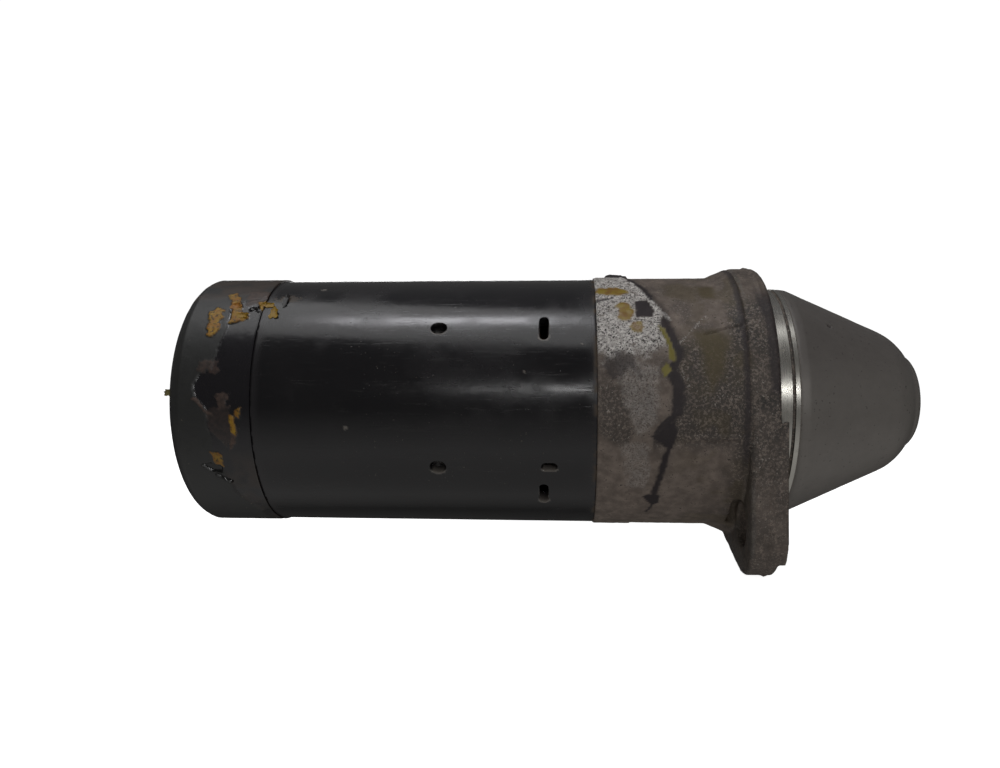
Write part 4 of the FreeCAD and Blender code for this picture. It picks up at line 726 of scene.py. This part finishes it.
def cap_masks(skin):
    """Where the cap's thick satin skin has torn, and what shows there."""
    patch, spot, stroke = skin.patch, skin.spot, skin.stroke
    torn = skin.beyond([
        (-180, -168), (-150, -165), (-120, -160), (-90, -157.5), (-60, -160), (-45, -164.5), (-30, -167),
        (-22, -168.5), (-12, -169.5), (-3, -170.5), (0, -173.4), (6, -173.6), (11, -172), (13, -168.4),
        (22, -167.2), (32, -166.4), (42, -166.8), (48, -166), (51, -158), (58, -150), (90, -150),
        (130, -160), (155, -166), (180, -168)], 0.8, 4, 23, 0.4)
    amber = over(
        patch([(-169.4, 54), (-166.6, 55.5), (-163.4, 45), (-163.2, 41.5), (-165.4, 42.5), (-167.6, 48.5)]),
        patch([
            (-172.4, 41), (-170.4, 44), (-168, 42), (-168.6, 36), (-167.7, 31), (-170.6, 28),
            (-172.6, 32)], 0.4, 1.2),
        patch([(-165.7, 43), (-163, 41.5), (-160, 41.5), (-159.8, 38), (-163, 36.5), (-165.9, 36)]),
        patch([
            (-158.6, 48), (-155, 50), (-152.5, 46), (-150.8, 42), (-152, 37), (-154.6, 40), (-157.8, 44)]),
        patch([(-162.7, -6.5), (-161.2, -7.5), (-160.8, -16), (-162.4, -14)], 0.4, 0.3),
        patch([(-161, -5), (-159.1, -3.3), (-159.6, -8), (-161, -7.2)], 0.4, 0.3) * 0.8,
        patch([(-169.6, -22.5), (-167, -24), (-166.5, -30), (-168.6, -28.5)], 0.4, 1) * 0.75,
        patch([(-168.5, 152), (-163.5, 149), (-163.5, 143), (-168, 145)]),
        patch([(-174, -118), (-169.5, -117), (-170.5, -126), (-173, -124)]))
    brown = over(
        patch([(-163.5, 58), (-150, 57), (-149, 52), (-151.5, 48), (-157, 48), (-162.5, 46)]) * 0.75,
        patch([(-172.6, 12), (-172, 15), (-166.8, 18), (-166.8, 13), (-170, 11)], 0.6, 1.6) * 0.6,
        patch([
            (-167.3, 1), (-165, 2.4), (-162.1, 0.8), (-163.2, -1.6), (-162.4, -3.5),
            (-166, -4.4)], 0.5, 1.4) * 0.8,
        patch([(-162.4, -14.5), (-160.5, -11.5), (-161.3, -19), (-163.6, -22.5)], 0.4, 0.4),
        patch([(-168.8, -4), (-162.8, -3), (-162.2, -16), (-164.5, -21), (-169.3, -12)]) * 0.35,
        stroke((-173.2, 0), (-168, -6.5), 0.35, 0.3, 26), spot(-163, 130, 6, 4, 0.6, 5, 14) * 0.7)
    slits = over(
        patch([(-173, -29.5), (-170, -28.6), (-166.8, -31), (-167.2, -33.5), (-170.5, -33)], 0.4, 0.3),
        stroke((-168.8, -34), (-165.2, -38.5), 0.45, 0.3, 16),
        patch([(-160.8, 44.8), (-158, 45.8), (-158.2, 43.2), (-160.4, 43)], 0.4, 0.3))
    tan = over(
        ease(48, 54, skin.turn) * ease(128, 112, skin.turn) * 0.9,
        ease(-20, -32, skin.turn) * ease(-110, -95, skin.turn) * torn * 0.55)
    tan = tan * ease(0.25, 0.5, skin.noise(7, 3, 22))
    dust = ease(0.5, 0.75, skin.noise(9, 3, 25))
    return amber, brown * (1 - amber), slits, tan * (1 - amber), 1 - torn, dust


def build_cap(material):
    """A finely turned shell, a little thicker where its satin skin is left, with its holes cut."""
    step = 0.4 * MM
    wall = 2.2 * MM
    edge = 0.2 * MM                      # the rounding of the open edge
    end = CAP_LOW.x + 0.15 * MM          # the middle of the slightly domed end
    face = (end + 1.3 * MM, CAP_R - 8.6 * MM)
    corner = (CAP_LOW.x + 6.4 * MM, CAP_R)
    outer = (arc_points((end, 0), (end + 0.35 * MM, face[1] / 2), face, step)
             + arc_points(face, (face[0] + 1.4 * MM, CAP_R - 2.7 * MM), corner, step)
             + run_line(corner, (SKIRT_X - edge, CAP_R), step)
             + arc_points((SKIRT_X - edge, CAP_R), (SKIRT_X - 0.06 * MM, CAP_R - 0.06 * MM),
                          (SKIRT_X, CAP_R - edge), 0.08 * MM))
    seat_x, seat_r = SKIRT_X - 3.5 * MM, CAP_R - 1.95 * MM        # where the yoke's spigot sits
    inner_x, inner_r = CAP_LOW.x + wall, CAP_R - wall - 0.4 * MM
    boss_x, boss_r, bush_r = inner_x + 10 * MM, 11 * MM, 8 * MM
    inner = [(SKIRT_X, CAP_R - edge), (SKIRT_X, seat_r), (seat_x, seat_r), (seat_x, inner_r),
             (corner[0] + MM, inner_r), (inner_x, face[1] - MM), (inner_x, boss_r), (boss_x, boss_r),
             (boss_x, bush_r), (inner_x, bush_r), (inner_x, 0)]
    points, normals = lathe_grid(outer + inner, 640)
    shown = points[:len(outer)]
    facing = normals[:len(outer)]
    skin = Skin(shown.reshape(-1, 3))
    amber, brown, slits, tan, film, dust = cap_masks(skin)
    height = (0.34 * film + 0.30 * amber + 0.14 * brown - 0.9 * slits + 0.10 * tan
              + 0.10 * (skin.noise(3, 3, 31) - 0.5) + 0.30 * (skin.noise(0.9, 2, 32) - 0.5) * amber - 0.45)
    within = np.array([-0.165, 0, 0])
    sign = np.where(np.sum(facing * (shown - within), axis=-1) < 0, -1, 1)
    shown += facing * (height.reshape(len(outer), -1, 1) * MM) * sign[..., None]
    obj = new_object("rear_cap_shell", grid_mesh("rear_cap_shell", points), "casing")
    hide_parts("rear_cap")
    bores, drills = [], []
    for side in (-1, 1):
        for y, z, head_r, head_depth, drill_r in CAP_HOLES:
            y, z = side * y * MM, side * z * MM
            bores.append(bore_cutter(CAP_LOW.x - 2 * MM, CAP_LOW.x + head_depth * MM, head_r * MM, y, z))
            drills.append(bore_cutter(CAP_LOW.x, CAP_LOW.x + 12 * MM, drill_r * MM, y, z))
    cut(obj, [joined_cutter("cap_holes", bores), joined_cutter("cap_drills", drills)])
    amber, brown, slits, tan, film, dust = cap_masks(Skin(vertex_vectors(obj.data, "co")))
    blank = np.zeros(len(dust))
    store_marks(obj.data, "marks", [amber, brown, slits, tan])
    store_marks(obj.data, "more_marks", [film, dust, blank, blank])
    paint_over(obj, material, 50)


# ---------------- the yoke
def build_yoke(material):
    """A finely turned tube with slight waves, and its slots cut."""
    step, fine = 0.6 * MM, 0.2 * MM
    rear, front = YOKE_LOW.x, YOKE_HIGH.x
    spigot_r = YOKE_R - 1.4 * MM         # the end that sits in the cap
    bore = YOKE_R - YOKE_WALL
    edge = 0.15 * MM
    outer = (run_line((rear, spigot_r), (SKIRT_X, spigot_r), step)
             + run_line((SKIRT_X, spigot_r), (SKIRT_X, YOKE_R - edge), 0.4 * MM)
             + run_line((SKIRT_X, YOKE_R - edge), (SKIRT_X + edge, YOKE_R), fine)
             + run_line((SKIRT_X + edge, YOKE_R), (front - edge, YOKE_R), step)
             + run_line((front - edge, YOKE_R), (front, YOKE_R - edge), fine))
    inner = [(front, YOKE_R - edge), (front, bore), (rear, bore)]
    points, _ = lathe_grid(outer + inner, 560)
    skin = Skin(points[:len(outer)].reshape(-1, 3))
    wave = 0.05 * (skin.noise(22, 2, 41) - 0.5) + 0.012 * (skin.noise(2.4, 2, 42) - 0.5)
    wave = wave * (skin.radius > 39)
    points[:len(outer), :, 1:] *= 1 + (wave.reshape(len(outer), -1, 1) - 0.02) / RUN_R
    obj = new_object("yoke_tube", grid_mesh("yoke_tube", points), "casing")
    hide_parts("yoke")
    lead_hole = (-149, 180, 10, 10)
    cut(obj, [joined_cutter("yoke_slots", [
        radial_cutter(x * MM, turn, length * MM, width * MM, YOKE_R, 7 * MM)
        for x, turn, length, width in (*YOKE_SLOTS, lead_hole)])])
    skin = Skin(vertex_vectors(obj.data, "co"))
    dull = over(ease(0.48, 0.70, skin.noise(16, 4, 43)) * 0.7,
                ease(3, 0, skin.x + 156), ease(-4, 0, skin.x + 54) * 0.8)
    # Real chips, and painted highlights along the lower edges of the slots.
    chips_and_highlights = over(skin.spot(-58.5, 24, 0.3, 0.3, 0.5, 0, 44), skin.spot(-75, 12, 0.3, 0.4, 0.5, 0, 45),
                 *[skin.lip_highlight(*slot) for slot in YOKE_SLOTS],
                 skin.spot(-128, -12, 0.7, 0.5, 0.5, 0, 46), skin.spot(-140, 61, 0.9, 0.6, 0.5, 0, 47),
                 skin.spot(-78, 120, 1.1, 0.8, 0.5, 0, 48), skin.spot(-120, -100, 1.3, 0.8, 0.5, 0, 49))
    chips_and_highlights *= skin.radius > 39.2
    dust = ease(0.35, 0.8, skin.noise(20, 2, 50))
    residue = over(ease(-1.6, -0.2, skin.x + 54) * ease(0.4, 0.6, skin.noise(3, 3, 51)),
                   skin.spot(-150, 52, 4, 1.8, 0.6, 0, 52) * 0.7)
    store_marks(obj.data, "marks", [dull, chips_and_highlights, dust, residue])
    paint_over(obj, material, 45)


# ---------------- the drive housing
def casting_masks(skin):
    """Corrosion and dirt on the casting, with painted shade added to the stains; the far side gets the same
    kinds at other places.
    """
    patch, spot, stroke = skin.patch, skin.spot, skin.stroke
    x, turn = skin.x, skin.turn
    barrel = ease(-8, -12, x) * (skin.radius < 47) * (skin.radius > 35.8)
    flange = ease(-19, -13, x) * ease(5.2, 4, x)
    nose = ease(3.9, 4.6, x)
    border = [
        (-180, -38), (-150, -34), (-120, -38), (-90, -43), (-54, -41.3), (-39, -39.6), (-24, -37.6),
        (-14, -38), (-9, -36), (-5.5, -32.9), (6, -32.5), (12, -34.6), (14, -34.6), (17.5, -32),
        (23, -32.7), (33.5, -35.6), (39, -34.4), (50, -37), (70, -43.3), (90, -45), (115, -42), (140, -35),
        (165, -37), (180, -38)]
    past = skin.beyond(border, 0.5, 3, 61, 0.5)
    coat = (1 - past) * barrel
    band = skin.beyond([(t, e + (3.4 if -10 < t < 38 else 1.6)) for t, e in border], 1.2, 2.4, 62, 1.6)
    high = ease(15, 25, turn + 22 * (skin.noise(5, 4, 63) - 0.5)) * ease(150, 125, turn)
    bloom = coat * high * ease(0.18, 0.40, skin.noise(1.8, 4, 64))
    far = coat * (abs(turn) > 95) * ease(0.46, 0.56, skin.noise(6, 3, 65))
    ring = spot(-40.5, 43.5, 5.4, 6.4, 0.12, 0, 66) * barrel
    bloom = over(
        bloom, far * 0.8, ring * coat,
        patch([(-34.8, 41.5), (-33, 40), (-32, 36), (-33.4, 35.4), (-34.6, 38)], 0.4, 0.4),
        coat * 0.26 * patch([
            (-49, 18), (-44, 18), (-37, 13), (-36, 2), (-37.5, -8), (-42, -15), (-45, -6),
            (-47.5, 6)], 1.6, 1.4),
        coat * 0.20 * patch([(-46.5, -17), (-40, -17), (-37.6, -30), (-39, -42), (-45, -38)], 1.6, 1.4))
    wax = over(
        spot(-49.3, 56, 4.6, 2.9, 0.16, -4, 71), spot(-45.6, 41.2, 2.5, 3.7, 0.16, 14, 72),
        spot(-42.2, 32.8, 1.9, 1.7, 0.3, 0, 73) * 0.8, spot(-46, 150, 4, 3, 0.3, 0, 74),
        spot(-48, -120, 3.6, 2.6, 0.3, 0, 75))
    dark = patch([(-42.3, 47.5), (-38.6, 48.5), (-36.9, 41), (-37.4, 37.4), (-42.4, 37.6)], 0.5, 0.4)
    stain = over(
        dark, past * (1 - band) * ease(41, 36, turn) * ease(-20, -12, turn) * barrel * 0.95,
        past * (1 - band) * barrel * over(ease(-24, -14, turn), ease(-90, -110, turn)) * 0.6,
        patch([(-38.4, -15), (-34.5, -10), (-31.6, -8.5), (-31, -14), (-33, -21), (-35.5, -19.5)]),
        stroke((-33.8, -19), (-36.8, -43), 0.9, 0.5, 84),
        patch([(-40.2, -45.5), (-38.6, -43.4), (-35, -44.5), (-35.2, -50), (-37.2, -51.4)], 0.4, 0.3),
        stroke((-36.6, -50), (-38.6, -58), 0.35, 0.4, 86),
        patch([(-53, 15), (-48, 19.5), (-44, 17.5), (-42, 11), (-46, 12.5), (-50, 8)], 2.2, 1.8) * 0.7,
        stroke((-43.5, 74), (-37.2, 49.5), 0.8, 0.35, 87), spot(-46, 86, 3.2, 2.4, 0.3, 0, 88),
        stroke((-53.9, 47), (-49.5, 50), 0.45, 0.4, 77) * 0.8, spot(-35, 165, 3, 6, 0.5, 0, 89),
        spot(-40, -130, 3, 8, 0.5, 20, 90))
    toward = ease(-40, -12, x)
    dirty = skin.noise(7, 4, 91)
    middle = ease(34, 22, turn) * ease(-28, -12, turn)
    mottle = patch([(-53.8, 8), (-47, 6), (-44.5, -6), (-43, -14), (-47, -19), (-53.8, -14)], 3, 1)
    soot = over(
        barrel * past * over(middle * 0.85, ease(0.60, 0.34, dirty) * 0.55),
        flange * (0.35 + 0.25 * ease(0.4, 0.6, dirty) + 0.40 * ease(56, 40, turn) * ease(-42, -24, turn)),
        mottle * 0.75, coat * ease(26, 14, turn) * ease(-16, -4, turn) * 0.5,
        barrel * ease(0.66, 0.50, skin.noise(11, 3, 79)) * 0.22,
        barrel * past * toward * ease(20, 40, turn) * 0.30)
    plate = patch([(-37.4, 8), (-33.2, 8), (-32.6, -4), (-35.5, -8), (-38.6, -3)], 1.6, 1.6)
    lower_side = ease(-18, -26, turn) * ease(-100, -80, turn)
    lower_side = lower_side * barrel * ease(-13, -22, x)
    soot = soot * (1 - 0.9 * plate) * (1 - 0.75 * lower_side) * (1 - nose)
    warm = over(
        patch([(-23.5, 61), (-17.5, 60), (-18, 49), (-22.5, 50)], 3),
        patch([(-26, 30), (-20, 31), (-15.5, 27), (-18, 12), (-22, 4), (-24, 16)], 4),
        patch([(-33, 64), (-28, 66), (-22, 58), (-24, 46), (-33, 52)], 4) * 0.6,
        past * barrel * 0.5 * ease(0.50, 0.64, skin.noise(6, 3, 95)) * toward,
        flange * 0.25 * ease(0.5, 0.7, skin.noise(5, 3, 96)), spot(-20, -160, 5, 6, 0.6, 0, 97))
    edge = over(
        patch([
            (-36.1, 33), (-34.4, 31.5), (-31.7, 20), (-31.9, 16), (-33.2, 17), (-33.7, 22.5),
            (-35, 28)], 0.4, 0.3),
        patch([(-35.8, 13), (-34, 15.5), (-32.8, 12.5), (-34.9, 9.2)], 0.4, 0.3))
    streak = over(
        stroke((-30, 24.5), (-22, 38), 0.38, 0.5, 101), stroke((-35.2, 41.5), (-32.4, 36.5), 0.7, 0.4, 103),
        stroke((-30, 12), (-28, 6), 0.5, 0.6, 104) * 0.6)
    inside = skin.radius < 32.5
    rim = ease(0.9, 0.3, abs(x + 10.1)) * (skin.radius > 41) * ease(0.3, 0.6, skin.noise(4, 3, 121))
    clean = over(nose, inside * ease(-8, -4, x), rim * 0.7)
    fade = ease(-6, -10, x)
    for mask in (bloom, wax, stain, edge, streak, warm):
        mask *= fade
    height = skin.radius * np.sin(np.radians(turn))
    # Painted shade in the groove at the root of the flange.
    root = ease(1.3, 0.5, abs(x + 11.6 + 0.8 * (skin.noise(4, 3, 122) - 0.5)))
    root = root * ease(-34, -20, turn) * ease(95, 80, turn) * (skin.radius < 45)
    shade = ease(-5.6, -4.4, x + 1.6 * ease(34, 50, turn)) * ease(-1, -1.6, x)
    shade = shade * ease(1, 5, turn) * ease(60, 46, turn) * (skin.radius > 38)
    # Painted shade is added to the stains here: the darkened top of the nose, the darkened groove at the
    # flange root and the painted shadow along the flange's front edge.
    stain = over(
        stain, nose * ease(-2, 20, height) * 0.36, root * 0.8, shade * 0.8,
        spot(16.6, 45, 0.55, 0.7, 0.2, 0, 117) * nose)
    bloom, stain, soot = bloom * (1 - dark), stain * (1 - wax) * (1 - edge), soot * (1 - wax)
    return bloom, wax, stain, soot, clean, warm, edge, streak


def build_casting(material):
    """The CAD casting, remeshed finely and roughened by its masks."""
    obj = new_object("drive_casting", NODES["drive_housing"].data.copy(), "casing")
    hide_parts("drive_housing")
    modifier = obj.modifiers.new("remesh", "REMESH")
    modifier.mode = "VOXEL"
    modifier.voxel_size = 0.55 * MM
    apply_modifiers(obj)
    points = vertex_vectors(obj.data, "co")
    skin = Skin(points)
    bloom, wax, stain, soot, clean, warm, edge, streak = casting_masks(skin)
    outside = ease(38, 39, skin.radius) * ease(-6, -9, skin.x) * (skin.radius < 47)
    flange = ease(-19, -13, skin.x) * ease(-1.6, -2.4, skin.x) * (skin.radius > 37.5)
    height = 0.18 * (skin.noise(2.2, 4, 111) - 0.5) * over(outside, flange)
    height += 0.45 * (skin.noise(4.5, 4, 112) - 0.5) * flange
    powder = bloom * (0.10 + 0.55 * (skin.noise(1.1, 3, 113) - 0.42))
    height += outside * (powder + 0.12 * wax + 0.16 * stain)
    height += 0.9 * skin.spot(-46, 88, 3.2, 2.4, 0.3, 0, 88) * outside
    coat_edge = [(-180, -38), (-90, -43), (-39, -39.6), (-9, -36), (0, -32.6), (23, -32.7), (39, -34.4),
                 (70, -43.3), (90, -45), (180, -38)]
    height += 0.25 * (1 - skin.beyond(coat_edge, 0.5, 3, 61)) * outside
    height += 0.10 * (skin.noise(3, 3, 114) - 0.5) * ease(4.6, 5.6, skin.x)
    height += 0.40 * ease(0.8, 0.2, abs(skin.x + 4.6)) * (skin.radius > 41)
    for rise, start, end, half_width, seed in (
            (0.35, (-31.5, -15.6), (-14, -15.2), 0.5, 115),
            (-0.45, (-31.5, -17.4), (-14, -17), 0.4, 118),
            (-0.35, (-44.2, -17), (-44.2, -47), 0.3, 116),
            (-0.50, (-22, 29), (-11.5, 33), 0.35, 119)):
        height += rise * skin.stroke(start, end, half_width, 0.2, seed) * outside
    height -= skin.spot(16.6, 45, 0.5, 0.7, 0.2, 0, 117) * (skin.x > 5)
    pilot = ease(-1.7, -1.2, skin.x) * ease(4.9, 4.3, skin.x)
    height -= 0.35 * (pilot * ease(34.5, 35.5, skin.radius) * ease(37.4, 36.9, skin.radius))
    points += vertex_vectors(obj.data, "normal") * (height * MM)[:, None]
    points = np.clip(points, np.array(HOUSING_LOW), np.array(HOUSING_HIGH))
    obj.data.vertices.foreach_set("co", points.astype(np.float32).ravel())
    obj.data.update()
    store_marks(obj.data, "marks", [bloom, wax, stain, soot])
    store_marks(obj.data, "more_marks", [clean, warm, edge, streak])
    paint_over(obj, material)


def build_spigot(material):
    """The machined pilot with its groove, as bright rings over the casting."""
    land, groove, under = 36.5 * MM, 35.9 * MM, 35 * MM
    root, end = -1.85 * MM, 4.25 * MM
    groove_low, groove_high = 2.02 * MM, 2.78 * MM
    first, second, last = 1.9 * MM, 2.9 * MM, 4.1 * MM           # where the lands meet their bevels
    bevel_r = land - 0.12 * MM
    outline = (run_line((root, land), (first, land), 0.4 * MM)
               + [(first, land), (groove_low, bevel_r), (groove_low, groove), (groove_high, groove),
                  (groove_high, bevel_r), (second, land)]
               + run_line((second, land), (last, land), 0.3 * MM)
               + [(last, land), (end, land - 0.10 * MM), (end, under), (root, under)])
    points, _ = lathe_grid(outline, 400)
    obj = new_object("pilot_ring", grid_mesh("pilot_ring", points), "casing")
    paint_over(obj, material, 25)


# ---------------- loose flakes of paint
def build_flake(name, material, x, turn, size_x, size_run, lift, lean, seed, radius):
    """A brittle chip of paint whose rim has curled away from the cap."""
    rng = random.Random(seed)
    thickness = 0.22
    count = 26
    rim = []
    for i in range(count):
        a = 2 * math.pi * i / count
        corner = abs(math.cos(a)) ** 3 + abs(math.sin(a)) ** 3
        reach = corner ** (-1 / 3) * (0.62 + 0.50 * rng.random())
        rim.append((math.cos(a) * size_x * reach, math.sin(a) * size_run * reach))
    box = bmesh.new()

    def vertex(across, around, height):
        angle = math.radians(turn) + around / RUN_R
        r = (radius + height) * MM
        return box.verts.new(((x + across) * MM, -r * math.cos(angle), r * math.sin(angle)))

    layers = []
    for side in (0, 1):
        rings = []
        for share in (1, 0.75, 0.5, 0.25):
            curls = [0.4 + 0.6 * math.cos(2 * math.pi * i / count - lean) for i in range(count)]
            rings.append([vertex(a * share, b * share, lift * share ** 3 * curl + side * thickness)
                          for (a, b), curl in zip(rim, curls)])
        hub = vertex(0, 0, side * thickness)
        for big, small in zip(rings, rings[1:]):
            bridge(box, big, small)
        for i in range(count):
            box.faces.new((rings[-1][i], rings[-1][(i + 1) % count], hub))
        layers.append(rings[0])
    bridge(box, *layers)
    bmesh.ops.recalc_face_normals(box, faces=box.faces)
    obj = new_object(name, mesh_from(box, name), "casing")
    paint_over(obj, material, 40)


def flake_material(name, light, dark, rough):
    """Cloudy paint with darker spots."""
    p = Paint(name)
    cloud = p.noise(1.8, 4, 0.6)
    spots = p.band(p.noise(0.8, 3, 0.6), 0.55, 0.68)
    color = p.mix(cloud, dark, light)
    color = p.mix(p.times(spots, 0.6), color, tuple(0.35 * c for c in dark))
    return p.finish(color, p.blend(cloud, rough, rough + 0.15), 0, p.bump(cloud, 0.08, 0.8))


def build_flakes():
    """The lifted chips round the torn places of the cap."""
    honey = flake_material("honey_varnish", (0.40, 0.25, 0.010), (0.20, 0.10, 0.006), 0.50)
    rust = flake_material("orange_primer", (0.42, 0.17, 0.012), (0.22, 0.095, 0.008), 0.50)
    black = flake_material("lifted_black_paint", (0.030, 0.028, 0.028), (0.010, 0.010, 0.010), 0.30)
    olive = flake_material("olive_primer", (0.24, 0.20, 0.060), (0.12, 0.10, 0.030), 0.45)
    flakes = (                           # x, turn, half sizes along x and round, lift, lean, seed, radius
        ("flake_orange_1", rust, -165.4, 45.5, 1.9, 1.1, 0.6, 1.2, 2, 40.3),
        ("flake_orange_2", rust, -168.2, 51.5, 1.6, 1.2, 0.6, 2.6, 12, 39.6),
        ("flake_honey_2", honey, -162.2, 39.4, 2.2, 1, 0.6, 0.5, 3, 40.3),
        ("flake_honey_3", honey, -152.6, 41.2, 1.6, 2.2, 0.7, 1, 4, 40.05),
        ("flake_honey_5", honey, -155.6, 46.6, 2.3, 0.9, 0.6, 2, 13, 40.1),
        ("flake_honey_6", honey, -170.3, 30.4, 1.8, 0.6, 0.4, 0.2, 14, 39.9),
        ("flake_olive_1", olive, -160, -6, 0.6, 1.1, 0.3, 2, 6, 39.9),
        ("flake_olive_2", olive, -182.7, 3, 1.5, 1.1, 0.5, 3.1, 15, 36.4),
        ("flake_black_1", black, -157.6, 43, 0.9, 0.8, 0.5, 3, 8, 40.1),
        ("flake_black_2", black, -150.4, 50, 1.1, 3.2, 0.5, 1, 9, 40),
        ("flake_honey_4", honey, -171, -121, 1.6, 2.2, 0.5, 1, 10, 39.8),
    )
    for name, material, *numbers in flakes:
        build_flake(name, material, *numbers)


# ---------------- studio
MIDDLE = Vector((-0.07, 0, 0))           # what the lights are placed about


def softbox(name, side, elevation, distance, shift, aim_shift, width, depth, power, color=(1, 1, 1)):
    """A light in front of the motor (side -1) or behind it (side 1), at an elevation in degrees."""
    light = bpy.data.lights.new(name, "AREA")
    light.shape = "RECTANGLE"
    light.size, light.size_y = width, depth
    light.energy = power
    light.color = color
    tilt = math.radians(elevation)
    place = MIDDLE + Vector((shift, side * math.cos(tilt), math.sin(tilt))) * distance
    aim = MIDDLE + Vector((aim_shift, 0, 0))
    obj = bpy.data.objects.new(name, light)
    scene.collection.objects.link(obj)
    obj.location = place
    obj.rotation_euler = (aim - place).to_track_quat("-Z", "Y").to_euler()


def build_lights():
    """A bright strip above, a wide fill, one light behind and a low strip in front."""
    softbox("top_softbox", -1, 77, 1.1, -0.145, -0.160, 0.36, 0.13, 1.35, (0.95, 0.95, 1))
    softbox("top_fill", -1, 77, 1.1, -0.25, -0.10, 1.3, 0.7, 4)
    softbox("rear_softbox", 1, 12, 1.3, -0.1, 0, 1.4, 0.25, 3.4)
    softbox("front_strip", -1, 11, 1.2, 0.36, 0, 1.2, 0.035, 2.6)


def build_world():
    """White to the camera; to the motor, a soft grey room that is darkest low down behind it."""
    world = bpy.data.worlds.new("studio")
    scene.world = world
    world.use_nodes = True
    tree = world.node_tree
    tree.nodes.clear()
    node = functools.partial(add_node, tree)
    place = node("ShaderNodeTexCoord").outputs["Generated"]
    axes = node("ShaderNodeSeparateXYZ", {0: place}).outputs
    height = node("ShaderNodeMath", {0: axes["Z"], 1: 0.5, 2: 0.5}, operation="MULTIPLY_ADD")
    shade = node("ShaderNodeValToRGB", {0: height.outputs[0]})
    ramp = shade.color_ramp.elements
    ramp[0].position, ramp[0].color = 0, (0.34, 0.335, 0.33, 1)
    ramp[1].position, ramp[1].color = 1, (0.16, 0.16, 0.165, 1)
    for position, value in ((0.13, 0.46), (0.30, 0.26), (0.42, 0.11), (0.55, 0.10), (0.8, 0.11)):
        ramp.new(position).color = (value, value * 0.985, value * 0.97, 1)
    behind = node("ShaderNodeMapRange", {"Value": axes["Y"], "From Min": 0.15, "From Max": 0.55})
    under = node("ShaderNodeMapRange", {"Value": axes["Z"], "From Min": 0.10, "From Max": -0.10})
    both = node("ShaderNodeMath", {0: behind.outputs[0], 1: under.outputs[0]}, operation="MULTIPLY")
    dim = node("ShaderNodeMath", {0: both.outputs[0], 1: -0.85, 2: 1}, operation="MULTIPLY_ADD")
    room = node("ShaderNodeBackground", {"Color": shade.outputs[0], "Strength": dim.outputs[0]})
    seen = node("ShaderNodeBackground", {"Color": (1, 1, 1, 1), "Strength": 1.05})
    to_camera = node("ShaderNodeLightPath").outputs["Is Camera Ray"]
    share = node("ShaderNodeMixShader", {0: to_camera, 1: room.outputs[0], 2: seen.outputs[0]})
    node("ShaderNodeOutputWorld", {0: share.outputs[0]})


def build_floor():
    """A pale floor just under the motor, seen by the camera only."""
    box = bmesh.new()
    bmesh.ops.create_circle(box, cap_ends=True, segments=96, radius=6)
    floor = bpy.data.objects.new("floor", mesh_from(box, "floor"))
    floor.location = (0, 0, cad_low.z - 0.2 * MM)
    scene.collection.objects.link(floor)
    p = Paint("pale_floor")
    tone = p.mix(p.noise(40, 2, 0.5), (0.86, 0.86, 0.86), (0.90, 0.90, 0.90))
    floor.data.materials.append(p.finish(tone, 0.9, Emission_Color=(1, 1, 1, 1), Emission_Strength=0.93))
    floor.visible_diffuse = False
    floor.visible_glossy = False


def build_camera():
    """A camera at the height of the motor, turned a little to the left, looking slightly up."""
    data = bpy.data.cameras.new("camera")
    data.sensor_width = 36
    data.lens = 30.48
    data.clip_start = 0.01
    obj = bpy.data.objects.new("camera", data)
    scene.collection.objects.link(obj)
    place = (-0.065, -0.2848, 0.0005)
    yaw, pitch, roll = -0.070, -0.017, 0.003
    ahead = Vector((math.sin(yaw) * math.cos(pitch), math.cos(yaw) * math.cos(pitch), -math.sin(pitch)))
    right = Vector((math.cos(yaw), -math.sin(yaw), 0))
    up = right.cross(ahead)
    columns = (right * math.cos(roll) + up * math.sin(roll),
               up * math.cos(roll) - right * math.sin(roll), -ahead)
    obj.matrix_world = Matrix([(*(column[i] for column in columns), place[i]) for i in range(3)]
                              + [(0, 0, 0, 1)])
    scene.camera = obj


materials = slot_materials()
dress_frame(materials)
build_cap(materials["cap_paint"])
build_yoke(materials["black_paint"])
build_casting(materials["cast_aluminium"])
build_spigot(machined_metal())
build_flakes()
build_lights()
build_world()
build_floor()
scene.view_settings.view_transform = "Standard"
build_camera()
